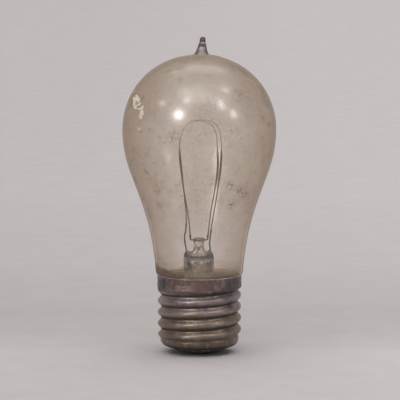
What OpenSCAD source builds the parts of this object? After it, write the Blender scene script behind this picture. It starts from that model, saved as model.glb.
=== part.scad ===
// Tipped carbon-filament lamp with a brass Edison screw cap, standing on its centre contact.
// Millimetres, +Z up, origin at the centre of the contact's flat bottom.

/* [Glass bulb] */
// Diameter at the widest place of the bulb
glass_d = 48.5; // [40:0.5:60]
// Height of the widest place above the bottom of the contact
widest_z = 70.7; // [58:0.1:88]
// Height of the crown above the widest place
crown_h = 23.8; // [19:0.1:30]
// Fullness of the crown, where 0.552 gives a round dome
crown_fullness = 0.567; // [0.5:0.001:0.62]
// How far the round side reaches down before it starts to taper
side_reach = 14.8; // [8:0.1:18]
// How far the slim neck reaches up before it starts to widen
neck_reach = 24.3; // [12:0.1:27]
// Slope of the neck, in degrees from upright
neck_slope = 4.2; // [1:0.1:8]
// How far the neck stands out past the cap's collar
neck_overhang = 0.45; // [0.2:0.05:0.9]
// Gap between the rim of the cap and the overhanging neck
neck_lift = 0.9; // [0.8:0.05:1.5]
// Thickness of the glass
glass_wall = 0.7; // [0.5:0.05:1]

/* [Exhaust tip] */
// Height of the tip above the crown
tip_h = 5.6; // [4.8:0.1:8]
// Diameter of the molten head of the tip
tip_head_d = 1.9; // [1.5:0.1:2.4]
// Diameter at the foot of the tip, where it flows into the crown
tip_foot_d = 5.4; // [4.6:0.1:7]
// Diameter of the draught hole left inside the tip
tip_hole_d = 2.6; // [1:0.1:3]
// Sideways place of the tip's foot on the crown
tip_x = 0.65; // [-1:0.05:1]
// Lean of the tip away from upright, in degrees
tip_lean = 4.7; // [0:0.1:10]

/* [Screw cap] */
// Diameter over the thread crests
thread_d = 26.4; // [22:0.05:32]
// Depth of the rolled thread
thread_depth = 1.1; // [0.7:0.05:1.35]
// Rise of the thread in one turn
thread_pitch = 3.629; // [3:0.001:4.4]
// How much narrower the grooves are than the crests, where 1 makes them alike
groove_sharpness = 1.35; // [1:0.05:1.8]
// Thickness of the brass sheet
shell_wall = 0.3; // [0.2:0.05:0.4]
// Height of the cap's rim above the bottom of the contact
rim_z = 24.7; // [20.5:0.1:30]
// How far the plain collar stands out past the thread crests
collar_step = 0.15; // [0:0.05:0.3]
// Height of the plain collar
collar_h = 3.5; // [2.6:0.1:4.2]
// How far the plain band below the thread lies inside the thread crests
band_step = 0.85; // [0.7:0.05:1]
// Height where the band starts to turn in
band_z = 4.2; // [3.9:0.1:5]
// Radius of the turned-in foot
foot_bend_r = 2.15; // [1.8:0.05:2.4]
// Depth of the notch in the rim for the side wire
notch_depth = 0.9; // [0.7:0.05:1.2]

/* [Base] */
// Diameter of the centre contact
contact_d = 10; // [8:0.1:14]
// Thickness of the centre contact
contact_h = 0.8; // [0.6:0.05:1.2]
// Diameter of the hole in the centre contact
contact_hole_d = 2.2; // [1.6:0.1:3]
// Height of the insulator's upper face
insulator_top_z = 7.5; // [6.2:0.1:9.5]
// Diameter of the lead hole in the insulator
insulator_hole_d = 1.8; // [1.2:0.1:3]
// Clearance between pieces that are pressed, cemented or moulded together
seat_gap = 0.05; // [0.03:0.01:0.1]
// Thickness of the cement between the hidden neck end and the thread's grooves
cement_t = 1; // [0.8:0.05:1.4]

/* [Glass stem] */
// Diameter of the stem's tube
stem_d = 9.7; // [8:0.1:12]
// Thickness of the stem's glass
stem_wall = 0.6; // [0.4:0.05:0.8]
// Height of the stem's shoulder above the bottom of the contact
stem_z = 31.9; // [28:0.1:40]
// Thickness of the sealed head that the wires pass through
head_h = 3.2; // [2:0.1:5]
// Radius of the rounded shoulder
shoulder_r = 1; // [0.5:0.05:1.5]
// Sideways set of the hand-made glass mount
stem_x = -0.2; // [-0.3:0.05:0.3]
// Height of the post on the stem's head
post_h = 4.4; // [3.6:0.1:6]
// Diameter of the post at its waist
post_d = 3.3; // [2.6:0.1:4]
// Height of the seal above the bottom of the contact, where the neck's end is fused to the flare
seal_z = 14; // [11.6:0.1:17]
// Height over which the stem's tube flares out to the seal
flare_h = 7; // [5:0.1:9]

/* [Wires and filament] */
// Diameter of the seal wires and of the copper leads
lead_d = 0.4; // [0.3:0.02:0.44]
// Diameter of the inner leads and the support bar
inner_lead_d = 0.44; // [0.3:0.02:0.6]
// Diameter of the carbon filament
filament_d = 0.32; // [0.2:0.02:0.4]
// Length of each dab of carbon paste
paste_l = 1; // [0.8:0.05:1.1]
// Diameter of each dab of carbon paste
paste_d = 0.84; // [0.74:0.02:1]
// Gap between the left lead and the stem tube's inner wall
lead_left_gap = 0.05; // [0.05:0.05:0.6]
// Gap between the right lead and the stem tube's inner wall
lead_right_gap = 0.45; // [0.05:0.05:0.6]
// Depth of the support bar below the shoulder of the post's head
bar_depth = 0.6; // [0.4:0.05:0.8]

/* [Hidden] */

$fn = 64;
curve_steps = 24;
collar_d = thread_d + 2 * collar_step;
band_d = thread_d - 2 * band_step;
neck_d = collar_d + 2 * neck_overhang;
neck_z = rim_z + neck_lift;
crown_z = widest_z + crown_h;
shell_inner_d = thread_d - 2 * thread_depth - 2 * shell_wall;
seal_d = shell_inner_d - 2 * cement_t;
filler_r = shell_inner_d / 2 - seat_gap;
collar_z = rim_z - collar_h;
foot_r = band_d / 2 - foot_bend_r;
foot_z = band_z - foot_bend_r;
lip_r = foot_r - 0.6;
lead_left_x = lead_left_gap + lead_d / 2 + stem_wall - stem_d / 2;
lead_right_x = stem_d / 2 - stem_wall - lead_d / 2 - lead_right_gap;
bar_rise = post_h - bar_depth;

// The height of a thread crest over the +X axis, which sets where every other crest lies
thread_phase_z = 14.6;

// The lengths over which the thread dies out into the collar above and the band below
thread_fade_top = 1.3;
thread_fade_foot = 1.7;
shell_columns = 40;
shell_rows_per_turn = 9;

// How far the tuck under the neck slopes down towards the cap's axis, in degrees from upright
tuck_angle = 70;
tuck_r = 0.75;

// How far a seal wire stands out of the head below and above
seal_wire_tail = 0.4;
seal_wire_stub = 0.25;

// The side wire rises behind the neck at this radius, in a slot of the cement
side_wire_r = (seal_d + shell_inner_d) / 4;
side_wire_out = collar_d / 2 + 0.4;
notch_z = rim_z - notch_depth + lead_d / 2 + 0.1;
cement_slot_w = lead_d + 2 * seat_gap + 0.2;

// Routes on the mount, from the centre of the stem's shoulder. A route bends round each inner point
// and is straight for half the length of its first and last stretch.
joint_lead_left = [-4, 0, 8.6];
joint_lead_right = [3.85, 0, 6.6];
joint_bar_left = [-post_d / 2 - 1.05, 0, bar_rise + 1.15];
joint_bar_right = [post_d / 2 + 1.2, 0, bar_rise + 1.15];
rise_lead_left = [0.15, 0, 2.4];
rise_lead_right = [0.24, 0, 2];
rise_bar_left = [-0.07, 0, 1.15];
rise_bar_right = [0.14, 0, 1.15];

route_front = [
    joint_lead_left, joint_lead_left + rise_lead_left,
    [-4.4, -0.7, 16.7], [-5.55, -1.1, 26.5], [-6.3, -1.1, 33.6], [-5.4, -1.1, 38.2], [-3.5, -1.1, 41.2],
    [0.3, -1.1, 42], [3.9, -1.1, 41], [5.6, -1.1, 38], [5.85, -1.1, 33], [6.15, -1.1, 26.6],
    [5.2, -1, 20.5], [3.7, -0.6, 12.5], joint_bar_right + 2.3 * rise_bar_right, joint_bar_right
];
route_rear = [
    joint_bar_left, joint_bar_left + 2.3 * rise_bar_left,
    [-3.4, 0.6, 12.2], [-4.6, 1, 18.5], [-5.6, 1.1, 26.5], [-6.2, 1.1, 33.6], [-5.3, 1.1, 38.2],
    [-3.4, 1.1, 41.2], [0.8, 1.1, 42], [4.6, 1.1, 41.4], [6.6, 1.1, 38.9], [7.2, 1.1, 34],
    [7.15, 1.1, 28.6], [6.2, 1, 21], [4.9, 0.6, 13], joint_lead_right + rise_lead_right, joint_lead_right
];
route_lead_left = [
    [lead_left_x, 0, seal_wire_stub], [lead_left_x, 0, 1], [-4.35, 0, 3], [-4.6, 0, 5.2],
    joint_lead_left - rise_lead_left, joint_lead_left
];
route_lead_right = [
    [lead_right_x, 0, seal_wire_stub], [lead_right_x, 0, 1], [3.4, 0, 2.8],
    joint_lead_right - rise_lead_right, joint_lead_right
];
route_bar = [
    joint_bar_left, joint_bar_left - rise_bar_left, joint_bar_left - rise_bar_left + [0.7, 0, 0],
    joint_bar_right - rise_bar_right - [0.7, 0, 0], joint_bar_right - rise_bar_right, joint_bar_right
];

// Routes inside the cap, from the centre of the contact's bottom
route_side_lead = [
    [stem_x + lead_left_x, 0, stem_z - head_h - seal_wire_tail],
    [stem_x + lead_left_x, 0, seal_z + flare_h],
    [stem_x + lead_left_x, 1, seal_z + 1],
    [-3, 5, seal_z - 3],
    [0, side_wire_r, seal_z - 3],
    [0, side_wire_r, seal_z + 2],
    [0, side_wire_r, notch_z],
    [0, side_wire_out, notch_z]
];
route_centre_lead = [
    [stem_x + lead_right_x, 0, stem_z - head_h - seal_wire_tail],
    [stem_x + lead_right_x, 0, seal_z + flare_h],
    [2.4, 0, seal_z],
    [0, 0, insulator_top_z + 3],
    [0, 0, contact_h / 2]
];

// ---- Curves and outlines ----

// The point at share t of a cubic curve from a to d, with b and c as its handles
function cubic(a, b, c, d, t) =
    (1 - t) ^ 3 * a + 3 * t * (1 - t) ^ 2 * b + 3 * t ^ 2 * (1 - t) * c + t ^ 3 * d;

// The direction of the same curve, which points from a towards d
function cubic_slope(a, b, c, d, t) =
    (1 - t) ^ 2 * (b - a) + 2 * t * (1 - t) * (c - b) + t ^ 2 * (d - c);

// The curve moved sideways by `inset`, to the right of its direction
function cubic_line(a, b, c, d, inset) = [
    for (i = [0:curve_steps])
        let (
            t = i / curve_steps,
            s = cubic_slope(a, b, c, d, t),
            n = [s.y, -s.x] / norm(s)
        )
        cubic(a, b, c, d, t) + inset * n
];

// Points of an arc round `centre` from angle `from` to angle `to`
function arc_line(centre, r, from, to, steps = 6) = [
    for (i = [0:steps])
        let (a = from + (to - from) * i / steps)
        centre + r * [cos(a), sin(a)]
];

// The outer outline of the bulb from crown to neck end as [radius, height], moved in by `inset`:
// a crown curve, a side curve down to the neck, a rounded tuck under the overhang, and the hidden end
function bulb_outline(inset) =
    let (
        r = glass_d / 2,
        slope = [sin(neck_slope), cos(neck_slope)],
        neck = [neck_d / 2, neck_z],
        tuck_centre = neck - tuck_r * [cos(neck_slope), -sin(neck_slope)],
        under = [cos(tuck_angle), -sin(tuck_angle)],
        tuck_end = tuck_centre + tuck_r * under,
        along = [-sin(tuck_angle), -cos(tuck_angle)],
        run = (tuck_end.x - seal_d / 2 - tuck_r * (1 - cos(tuck_angle))) / sin(tuck_angle),
        bend_centre = tuck_end + run * along + tuck_r * under
    )
    concat(
        cubic_line([0, crown_z], [r * crown_fullness, crown_z],
            [r, widest_z + crown_h * crown_fullness], [r, widest_z], inset),
        cubic_line([r, widest_z], [r, widest_z - side_reach], neck + neck_reach * slope, neck, inset),
        arc_line(tuck_centre, max(tuck_r - inset, 0.02), -neck_slope, -tuck_angle),
        arc_line(bend_centre, tuck_r + inset, 180 - tuck_angle, 180),
        [[seal_d / 2 - inset, seal_z]]
    );

// The exhaust tip's outline as [radius, height above the crown], from its foot to its round head
function tip_outline() =
    let (head_r = tip_head_d / 2, foot_r = tip_foot_d / 2)
    concat(
        [[0, -1.2], [foot_r + 0.6, -1.2]],
        cubic_line([foot_r + 0.5, -0.6], [foot_r - 0.8, 0.1], [head_r + 0.55, tip_h * 0.45],
            [head_r, tip_h - 1.5], 0),
        arc_line([0, tip_h - head_r], head_r, 5, 90, 8)
    );

// ---- Wires ----

// The route's own points, with each inner corner rounded by a curve between its two legs' middles
function round_route(p, steps = 5) = concat(
    [p[0]],
    [
        for (i = [1:len(p) - 2], k = [0:steps - 1])
            let (t = k / steps, a = (p[i - 1] + p[i]) / 2, c = (p[i] + p[i + 1]) / 2)
            (1 - t) ^ 2 * a + 2 * t * (1 - t) * p[i] + t ^ 2 * c
    ],
    [(p[len(p) - 2] + p[len(p) - 1]) / 2, p[len(p) - 1]]
);

function unit(v) = v / norm(v);

// Which way the line runs at its point i
function heading(line, i) =
    unit(line[min(i + 1, len(line) - 1)] - line[max(i - 1, 0)]);

// A round wire of diameter d along a route that never runs along `side`
module wire(route, d, side = [0, 1, 0], sides = 8) {
    line = round_route(route);
    n = len(line);
    rings = [
        for (i = [0:n - 1])
            let (h = heading(line, i), u = unit(cross(h, side)), v = cross(h, u))
            for (k = [0:sides - 1])
                line[i] + d / 2 * (cos(360 * k / sides) * u + sin(360 * k / sides) * v)
    ];
    skin = [
        for (i = [0:n - 2], k = [0:sides - 1])
            let (a = i * sides + k, b = i * sides + (k + 1) % sides)
            [a, a + sides, b + sides, b]
    ];
    start_cap = [for (k = [0:sides - 1]) k];
    end_cap = [for (k = [sides - 1:-1:0]) (n - 1) * sides + k];
    polyhedron(points = rings, faces = concat([start_cap], skin, [end_cap]));
}

module on_mount() {
    translate([stem_x, 0, stem_z]) children();
}

// Turns its children from +Z to point along v, which lies in the XZ plane
module pointing(v) {
    rotate([0, atan2(v.x, v.z), 0]) children();
}

// A spindle-shaped dab of paste at a joint, bored for the wire below it and the filament above it
module paste_dab(centre, rise) {
    color("#17130f")
    on_mount()
    translate(centre)
    pointing(rise)
    difference() {
        rotate_extrude()
        polygon(concat(
            [[0, -paste_l / 2], [paste_d / 2 - 0.06, -paste_l / 2]],
            arc_line([paste_d / 2 - 0.06, 0], 0.06, -80, 80),
            [[paste_d / 2 - 0.06, paste_l / 2], [0, paste_l / 2]]
        ));
        translate([0, 0, -paste_l])
        cylinder(h = paste_l, d = inner_lead_d + 2 * seat_gap);
        translate([0, 0, -0.01])
        cylinder(h = paste_l, d = filament_d + 2 * seat_gap);
    }
}

// ---- Glass ----

module tip_place() {
    translate([tip_x, 0, crown_z]) rotate([0, tip_lean, 0]) children();
}

module bulb_body(inset) {
    rotate_extrude($fn = 96)
    polygon(concat(bulb_outline(inset), [[0, seal_z]]));
}

// The blown bulb, with the melted-off end of its exhaust tube as the tip on the crown
module glass_envelope() {
    color("#b0a190", 0.45)
    difference() {
        union() {
            bulb_body(0);
            tip_place() rotate_extrude() polygon(tip_outline());
        }
        bulb_body(glass_wall);
        tip_place() {
            translate([0, 0, -2]) cylinder(h = 2.4, d = tip_hole_d);
            translate([0, 0, 0.4]) cylinder(h = tip_h - 2.3, d1 = tip_hole_d, d2 = 0.5);
        }
        translate([0, 0, seal_z - 1]) cylinder(h = 2, d = seal_d - 2 * glass_wall);
    }
}

// The stem's flare as [radius, height], from the tube down to where the neck's end sits on it,
// moved in by `inset`
function flare_line(inset) =
    let (
        r = stem_d / 2,
        seat_r = seal_d / 2 - glass_wall - abs(stem_x),
        flare_z = seal_z + flare_h
    )
    cubic_line([r, flare_z], [r, flare_z - flare_h * 0.55], [seat_r - flare_h * 0.35, seal_z],
        [seat_r, seal_z], inset);

function backwards(line) = [for (i = [len(line) - 1:-1:0]) line[i]];

// The glass mount: a flared tube, its head sealed round the wires, and the post for the bar
module glass_stem() {
    rim_r = seal_d / 2 - abs(stem_x);
    color("#8d8075", 0.7)
    translate([stem_x, 0, 0])
    difference() {
        union() {
            rotate_extrude()
            polygon(concat(
                [[0, stem_z - head_h], [0, stem_z]],
                arc_line([stem_d / 2 - shoulder_r, stem_z - shoulder_r], shoulder_r, 90, 0),
                flare_line(0),
                [[rim_r, seal_z], [rim_r, seal_z - stem_wall]],
                backwards(flare_line(stem_wall)),
                [[stem_d / 2 - stem_wall, stem_z - head_h]]
            ));
            translate([0, 0, stem_z - 0.2])
            rotate_extrude()
            polygon(concat(
                [[0, 0]],
                cubic_line([post_d / 2 + 0.7, 0], [post_d / 2 + 0.1, 0.5], [post_d / 2 - 0.2, 2],
                    [post_d / 2 + 0.2, post_h - 0.4], 0),
                arc_line([post_d / 2 - 0.2, post_h - 0.2], 0.4, 0, 90),
                [[0, post_h + 0.2]]
            ));
        }
        for (x = [lead_left_x, lead_right_x])
            translate([x, 0, stem_z - head_h - 1]) cylinder(h = head_h + 2, d = lead_d);
        translate([-post_d, 0, stem_z + bar_rise])
        rotate([0, 90, 0])
        cylinder(h = 2 * post_d, d = inner_lead_d + 2 * seat_gap);
    }
}

// ---- Filament, bar and leads ----

module filament_front() {
    color("#1d1813") on_mount() wire(route_front, filament_d);
}

module filament_rear() {
    color("#1d1813") on_mount() wire(route_rear, filament_d);
}

module paste_lead_left() {
    paste_dab(joint_lead_left, rise_lead_left);
}

module paste_lead_right() {
    paste_dab(joint_lead_right, rise_lead_right);
}

module paste_bar_left() {
    paste_dab(joint_bar_left, rise_bar_left);
}

module paste_bar_right() {
    paste_dab(joint_bar_right, rise_bar_right);
}

module support_bar() {
    color("#4d443b") on_mount() wire(route_bar, inner_lead_d);
}

module inner_lead_left() {
    color("#4d443b") on_mount() wire(route_lead_left, inner_lead_d);
}

module inner_lead_right() {
    color("#4d443b") on_mount() wire(route_lead_right, inner_lead_d);
}

// A short wire through the head, with its ends standing clear of the glass
module seal_wire(x) {
    color("#8f8c86")
    translate([stem_x + x, 0, stem_z - head_h - seal_wire_tail])
    cylinder(h = head_h + seal_wire_tail + seal_wire_stub, d = lead_d);
}

module seal_wire_left() {
    seal_wire(lead_left_x);
}

module seal_wire_right() {
    seal_wire(lead_right_x);
}

module side_lead() {
    color("#7d4f35") wire(route_side_lead, lead_d, side = unit([1, 0.35, 0.1]));
}

module centre_lead() {
    color("#7d4f35") wire(route_centre_lead, lead_d);
}

// ---- Cap ----

// 0 below `from`, 1 above `to`, and a smooth rise between
function smooth_step(from, to, x) =
    let (t = min(max((x - from) / (to - from), 0), 1))
    t * t * (3 - 2 * t);

// The shell's plain radius at height z, before the thread is rolled in
function plain_radius(z) =
    let (mean_r = (thread_d - thread_depth) / 2)
    mean_r
        + (collar_d / 2 - mean_r) * smooth_step(collar_z - thread_fade_top, collar_z, z)
        + (band_d / 2 - mean_r) * (1 - smooth_step(band_z, band_z + thread_fade_foot, z));

// How deep the thread is at height z, from 0 in the collar and the band to 1
function thread_share(z) =
    smooth_step(band_z, band_z + thread_fade_foot, z)
        * (1 - smooth_step(collar_z - thread_fade_top, collar_z, z));

// The shell's radius at angle a and height z: a right-hand round thread on the plain radius,
// with `hollow` as how far into a groove the place lies, from 0 on a crest to 1
function shell_radius(a, z) =
    let (hollow = (1 - cos(360 * (z - thread_phase_z) / thread_pitch - a)) / 2)
    plain_radius(z)
        + thread_depth * thread_share(z) * (0.5 - hollow ^ groove_sharpness);

// The sheet from rim to lip as [radius, height, inward step], with -1 as the radius of a threaded row
shell_rows = concat(
    [for (z = [rim_z, rim_z - notch_depth, rim_z - notch_depth - 0.4]) [-1, z, 0]],
    [
        for (z = [collar_z + 0.4:-thread_pitch / shell_rows_per_turn:band_z])
            [-1, z, 0]
    ],
    [
        for (p = arc_line([foot_r, band_z], foot_bend_r, 0, -90, 5))
            let (n = (p - [foot_r, band_z]) / foot_bend_r)
            [p.x, p.y, n]
    ],
    [[lip_r, foot_z, [0, -1]]]
);

// How much lower the rim is at angle a, where the notch for the side wire is
function notch_drop(a) = abs(a - 90) < 6 ? notch_depth : 0;

// One point of the shell's outer face, or of its inner face when `inset` is the sheet's thickness
function shell_point(row, i, a, inset) =
    let (
        threaded = row.x < 0,
        z = row.y - (i == 0 ? notch_drop(a) : 0),
        r = threaded ? shell_radius(a, row.y) : row.x,
        n = threaded ? [1, 0] : row.z
    )
    [(r - inset * n.x) * cos(a), (r - inset * n.x) * sin(a), z - inset * n.y];

// The cap: plain collar, rolled thread, plain band and turned-in foot, all from one sheet
module screw_shell() {
    rows = len(shell_rows);
    cols = shell_columns;
    outer = [
        for (i = [0:rows - 1], k = [0:cols - 1])
            shell_point(shell_rows[i], i, 360 * k / cols, 0)
    ];
    inner = [
        for (i = [0:rows - 1], k = [0:cols - 1])
            shell_point(shell_rows[i], i, 360 * k / cols, shell_wall)
    ];
    back = rows * cols;
    outer_faces = [
        for (i = [0:rows - 2], k = [0:cols - 1])
            let (a = i * cols + k, b = i * cols + (k + 1) % cols)
            [a, a + cols, b + cols, b]
    ];
    inner_faces = [for (f = outer_faces) [f[3] + back, f[2] + back, f[1] + back, f[0] + back]];
    rim_faces = [for (k = [0:cols - 1]) let (b = (k + 1) % cols) [k, b, b + back, k + back]];
    last = (rows - 1) * cols;
    lip_faces = [
        for (k = [0:cols - 1])
            let (b = (k + 1) % cols)
            [last + k + back, last + b + back, last + b, last + k]
    ];
    color("#6f5f52")
    polyhedron(
        points = concat(outer, inner),
        faces = concat(outer_faces, inner_faces, rim_faces, lip_faces)
    );
}

// The plaster between glass and brass, with a low lip over the rim and a slot for the side wire
module basing_cement() {
    collar_fill_r = collar_d / 2 - shell_wall - seat_gap;
    color("#cfc4ae")
    difference() {
        rotate_extrude($fn = 96)
        polygon([
            [seal_d / 2 - 1, seal_z + 0.6],
            [filler_r, seal_z + 0.6],
            [filler_r, collar_z + 0.1],
            [collar_fill_r, collar_z + 0.5],
            [collar_fill_r, rim_z + seat_gap],
            [collar_d / 2 - 0.15, rim_z + seat_gap],
            [collar_d / 2 - 0.15, neck_z - 0.45],
            [seal_d / 2 - 1, neck_z - 0.45]
        ]);
        bulb_body(-seat_gap);
        translate([-cement_slot_w / 2, side_wire_r - lead_d, seal_z])
        cube([cement_slot_w, collar_d, rim_z + 2 - seal_z]);
    }
}

// The black insulator, moulded into the foot of the shell and round the contact
module base_insulator() {
    contact_r = contact_d / 2;
    corner_r = filler_r - foot_r;
    lip_top_z = foot_z + shell_wall + seat_gap;
    color("#262124")
    difference() {
        rotate_extrude($fn = 96)
        polygon(concat(
            [[0, contact_h + seat_gap], [contact_r + seat_gap, contact_h + seat_gap]],
            cubic_line([contact_r + seat_gap, 0.25], [contact_r + 1.6, 0.3],
                [lip_r - 1.2, 0.9], [lip_r - 0.1, foot_z - 0.1], 0),
            [[lip_r - seat_gap, foot_z], [lip_r - seat_gap, lip_top_z]],
            arc_line([foot_r, lip_top_z + corner_r], corner_r, -90, 0),
            [[filler_r, insulator_top_z], [0, insulator_top_z]]
        ));
        translate([0, 0, -1]) cylinder(h = insulator_top_z + 2, d = insulator_hole_d);
    }
}

// The contact disc, flat below with a rounded edge, and a hole for the lead and its solder
module centre_contact() {
    edge_r = 0.35;
    color("#8a7a5e")
    difference() {
        rotate_extrude($fn = 96)
        polygon(concat(
            [[0, 0]],
            arc_line([contact_d / 2 - edge_r, edge_r], edge_r, -90, 0),
            [[contact_d / 2, contact_h], [0, contact_h]]
        ));
        translate([0, 0, -1]) cylinder(h = contact_h + 2, d = contact_hole_d);
    }
}

// Solder in the contact's hole, just short of its bottom face and bored for the lead
module centre_solder() {
    color("#7c7a76")
    difference() {
        translate([0, 0, 0.1]) cylinder(h = contact_h - 0.1, d = contact_hole_d);
        translate([0, 0, contact_h / 2]) cylinder(h = contact_h, d = lead_d + 2 * seat_gap);
    }
}

// A low blob of solder on the outside of the collar, over the end of the side wire in its notch
module side_solder() {
    blob_r = 1.7;
    color("#7c7a76")
    difference() {
        translate([0, collar_d / 2 - 0.9, notch_z - 0.9]) sphere(r = blob_r);
        cylinder(h = 2 * rim_z, d = collar_d + 2 * seat_gap, $fn = 96);
        translate([0, 0, notch_z])
        rotate([-90, 0, 0])
        cylinder(h = side_wire_out + seat_gap, d = lead_d + 2 * seat_gap);
    }
}

glass_envelope();
glass_stem();
filament_front();
filament_rear();
paste_lead_left();
paste_lead_right();
paste_bar_left();
paste_bar_right();
support_bar();
inner_lead_left();
inner_lead_right();
seal_wire_left();
seal_wire_right();
side_lead();
centre_lead();
screw_shell();
basing_cement();
base_insulator();
centre_contact();
centre_solder();
side_solder();
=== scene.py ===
import functools
import math

import bpy
import numpy as np
from bpy.props import FloatProperty, FloatVectorProperty, PointerProperty
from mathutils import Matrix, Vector


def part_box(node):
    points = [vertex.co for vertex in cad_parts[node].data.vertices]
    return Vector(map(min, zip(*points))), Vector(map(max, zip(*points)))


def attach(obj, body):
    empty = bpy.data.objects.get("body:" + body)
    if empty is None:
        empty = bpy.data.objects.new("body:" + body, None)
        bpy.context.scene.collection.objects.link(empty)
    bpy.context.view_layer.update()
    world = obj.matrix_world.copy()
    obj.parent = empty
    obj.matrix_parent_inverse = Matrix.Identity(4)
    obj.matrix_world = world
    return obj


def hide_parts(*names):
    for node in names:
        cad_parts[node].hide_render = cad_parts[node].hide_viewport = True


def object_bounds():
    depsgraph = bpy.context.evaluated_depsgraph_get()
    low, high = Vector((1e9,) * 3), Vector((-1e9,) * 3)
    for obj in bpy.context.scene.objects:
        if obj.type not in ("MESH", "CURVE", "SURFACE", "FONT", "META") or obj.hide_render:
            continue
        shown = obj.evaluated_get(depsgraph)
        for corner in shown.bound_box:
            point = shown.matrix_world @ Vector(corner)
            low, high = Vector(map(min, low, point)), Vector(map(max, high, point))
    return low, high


bl_info = {
    "name": "Dead Light Bulb",
    "version": (1, 0, 0),
    "blender": (4, 5, 0),
    "location": "3D View > Sidebar > Lamp",
    "description": "Builds an old carbon-filament lamp with a tipped bulb and a brass screw cap",
    "category": "Add Mesh",
}

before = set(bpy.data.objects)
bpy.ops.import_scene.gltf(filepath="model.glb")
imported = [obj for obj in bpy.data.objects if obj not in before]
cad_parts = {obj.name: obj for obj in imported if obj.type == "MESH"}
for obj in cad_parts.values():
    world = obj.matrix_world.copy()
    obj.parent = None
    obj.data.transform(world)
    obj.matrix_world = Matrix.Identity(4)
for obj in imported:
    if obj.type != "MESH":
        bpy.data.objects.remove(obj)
CAD_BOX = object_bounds()
MM = 0.001

GLASS_LOW, GLASS_HIGH = (np.array(corner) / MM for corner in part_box("glass_envelope"))
SHELL_LOW, SHELL_HIGH = (np.array(corner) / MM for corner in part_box("screw_shell"))
_, INSULATOR_HIGH = (np.array(corner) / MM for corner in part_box("base_insulator"))
CONTACT_LOW, CONTACT_HIGH = (np.array(corner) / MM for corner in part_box("centre_contact"))
FULL_TURN = 2 * math.pi

# Fixed by the cap and the mount, in millimetres: the radius of the neck's hidden end, and the
# sideways places of the two leads from the stem's middle
NECK_END_R = 10.8
LEADS_X = (-4.0, 3.6)


# ---- Sizes and colours that a user can change ----


def linear(text):
    """An sRGB hex colour as linear red, green and blue."""
    values = np.array([int(text[i:i + 2], 16) / 255 for i in (1, 3, 5)])
    low, high = values / 12.92, ((values + 0.055) / 1.055) ** 2.4
    return tuple(float(v) for v in np.where(values <= 0.04045, low, high))


def length(name, description, mm):
    """A length property whose default is given in millimetres."""
    return FloatProperty(name=name, description=description, default=float(mm) * MM, precision=5,
                         subtype="DISTANCE", unit="LENGTH")


def colour(name, description, text):
    """A colour property whose default is given as an sRGB hex colour."""
    return FloatVectorProperty(name=name, description=description, default=linear(text), size=3,
                               min=0, max=1, subtype="COLOR")


def strength(name, description, value):
    """A light's strength, from 0 up."""
    return FloatProperty(name=name, description=description, default=value, min=0)


class LampBulbSettings(bpy.types.PropertyGroup):
    glass_d: length("Bulb Diameter", "Diameter at the widest place", GLASS_HIGH[0] - GLASS_LOW[0])
    widest_z: length("Widest Height", "Height of the widest place", 70.7)
    crown_h: length("Crown Height", "Height of the crown above the widest place", 23.8)
    side_reach: length("Side Reach", "How far the round side reaches down", 14.8)
    neck_reach: length("Neck Reach", "How far the slim neck reaches up", 24.3)
    neck_overhang: length("Neck Overhang", "How far the neck stands out past the collar", 0.45)
    neck_lift: length("Neck Lift", "Gap between the cap's rim and the neck", 0.9)
    wall: length("Glass Wall", "Thickness of the glass", 0.7)
    tip_x: length("Tip Place", "Sideways place of the exhaust tip", 0.65)
    crown_fullness: FloatProperty(name="Crown Fullness", default=0.567, min=0.4, max=0.7,
                                  description="How full the crown is, where 0.552 is a round dome")
    neck_slope: FloatProperty(name="Neck Slope", default=math.radians(4.2), subtype="ANGLE",
                              description="Slope of the neck from upright")
    tip_lean: FloatProperty(name="Tip Lean", default=math.radians(4.7), subtype="ANGLE",
                            description="Lean of the exhaust tip from upright")
    smoke: colour("Smoke", "Tint of light that passes one wall face", "#fdfbf9")
    dust: colour("Dust", "Colour of the haze on the glass", "#dccbb0")


class LampMountSettings(bpy.types.PropertyGroup):
    stem_d: length("Stem Diameter", "Diameter of the stem's tube", 9.7)
    stem_wall: length("Stem Wall", "Thickness of the stem's glass", 0.6)
    stem_z: length("Stem Height", "Height of the stem's shoulder", 31.9)
    stem_x: length("Stem Place", "Sideways set of the glass mount", -0.2)
    head_h: length("Head Height", "Thickness of the sealed head", 3.2)
    post_h: length("Post Height", "Height of the post on the head", 4.4)
    filament_d: length("Filament Diameter", "Diameter of the carbon filament", 0.32)
    wire_d: length("Wire Diameter", "Diameter of the leads and the support bar", 0.44)
    seal_wire_d: length("Seal Wire Diameter", "Diameter of the seal wires and copper leads", 0.4)
    paste_d: length("Paste Diameter", "Diameter of each dab of carbon paste", 0.84)
    carbon: colour("Carbon", "Colour of the filament's legs", "#2a211b")
    # the top's colour is painted light: paler, for the reflected light that veils it
    veiled_top: colour("Ash", "Colour of the filament's top", "#b5aa9e")


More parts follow.
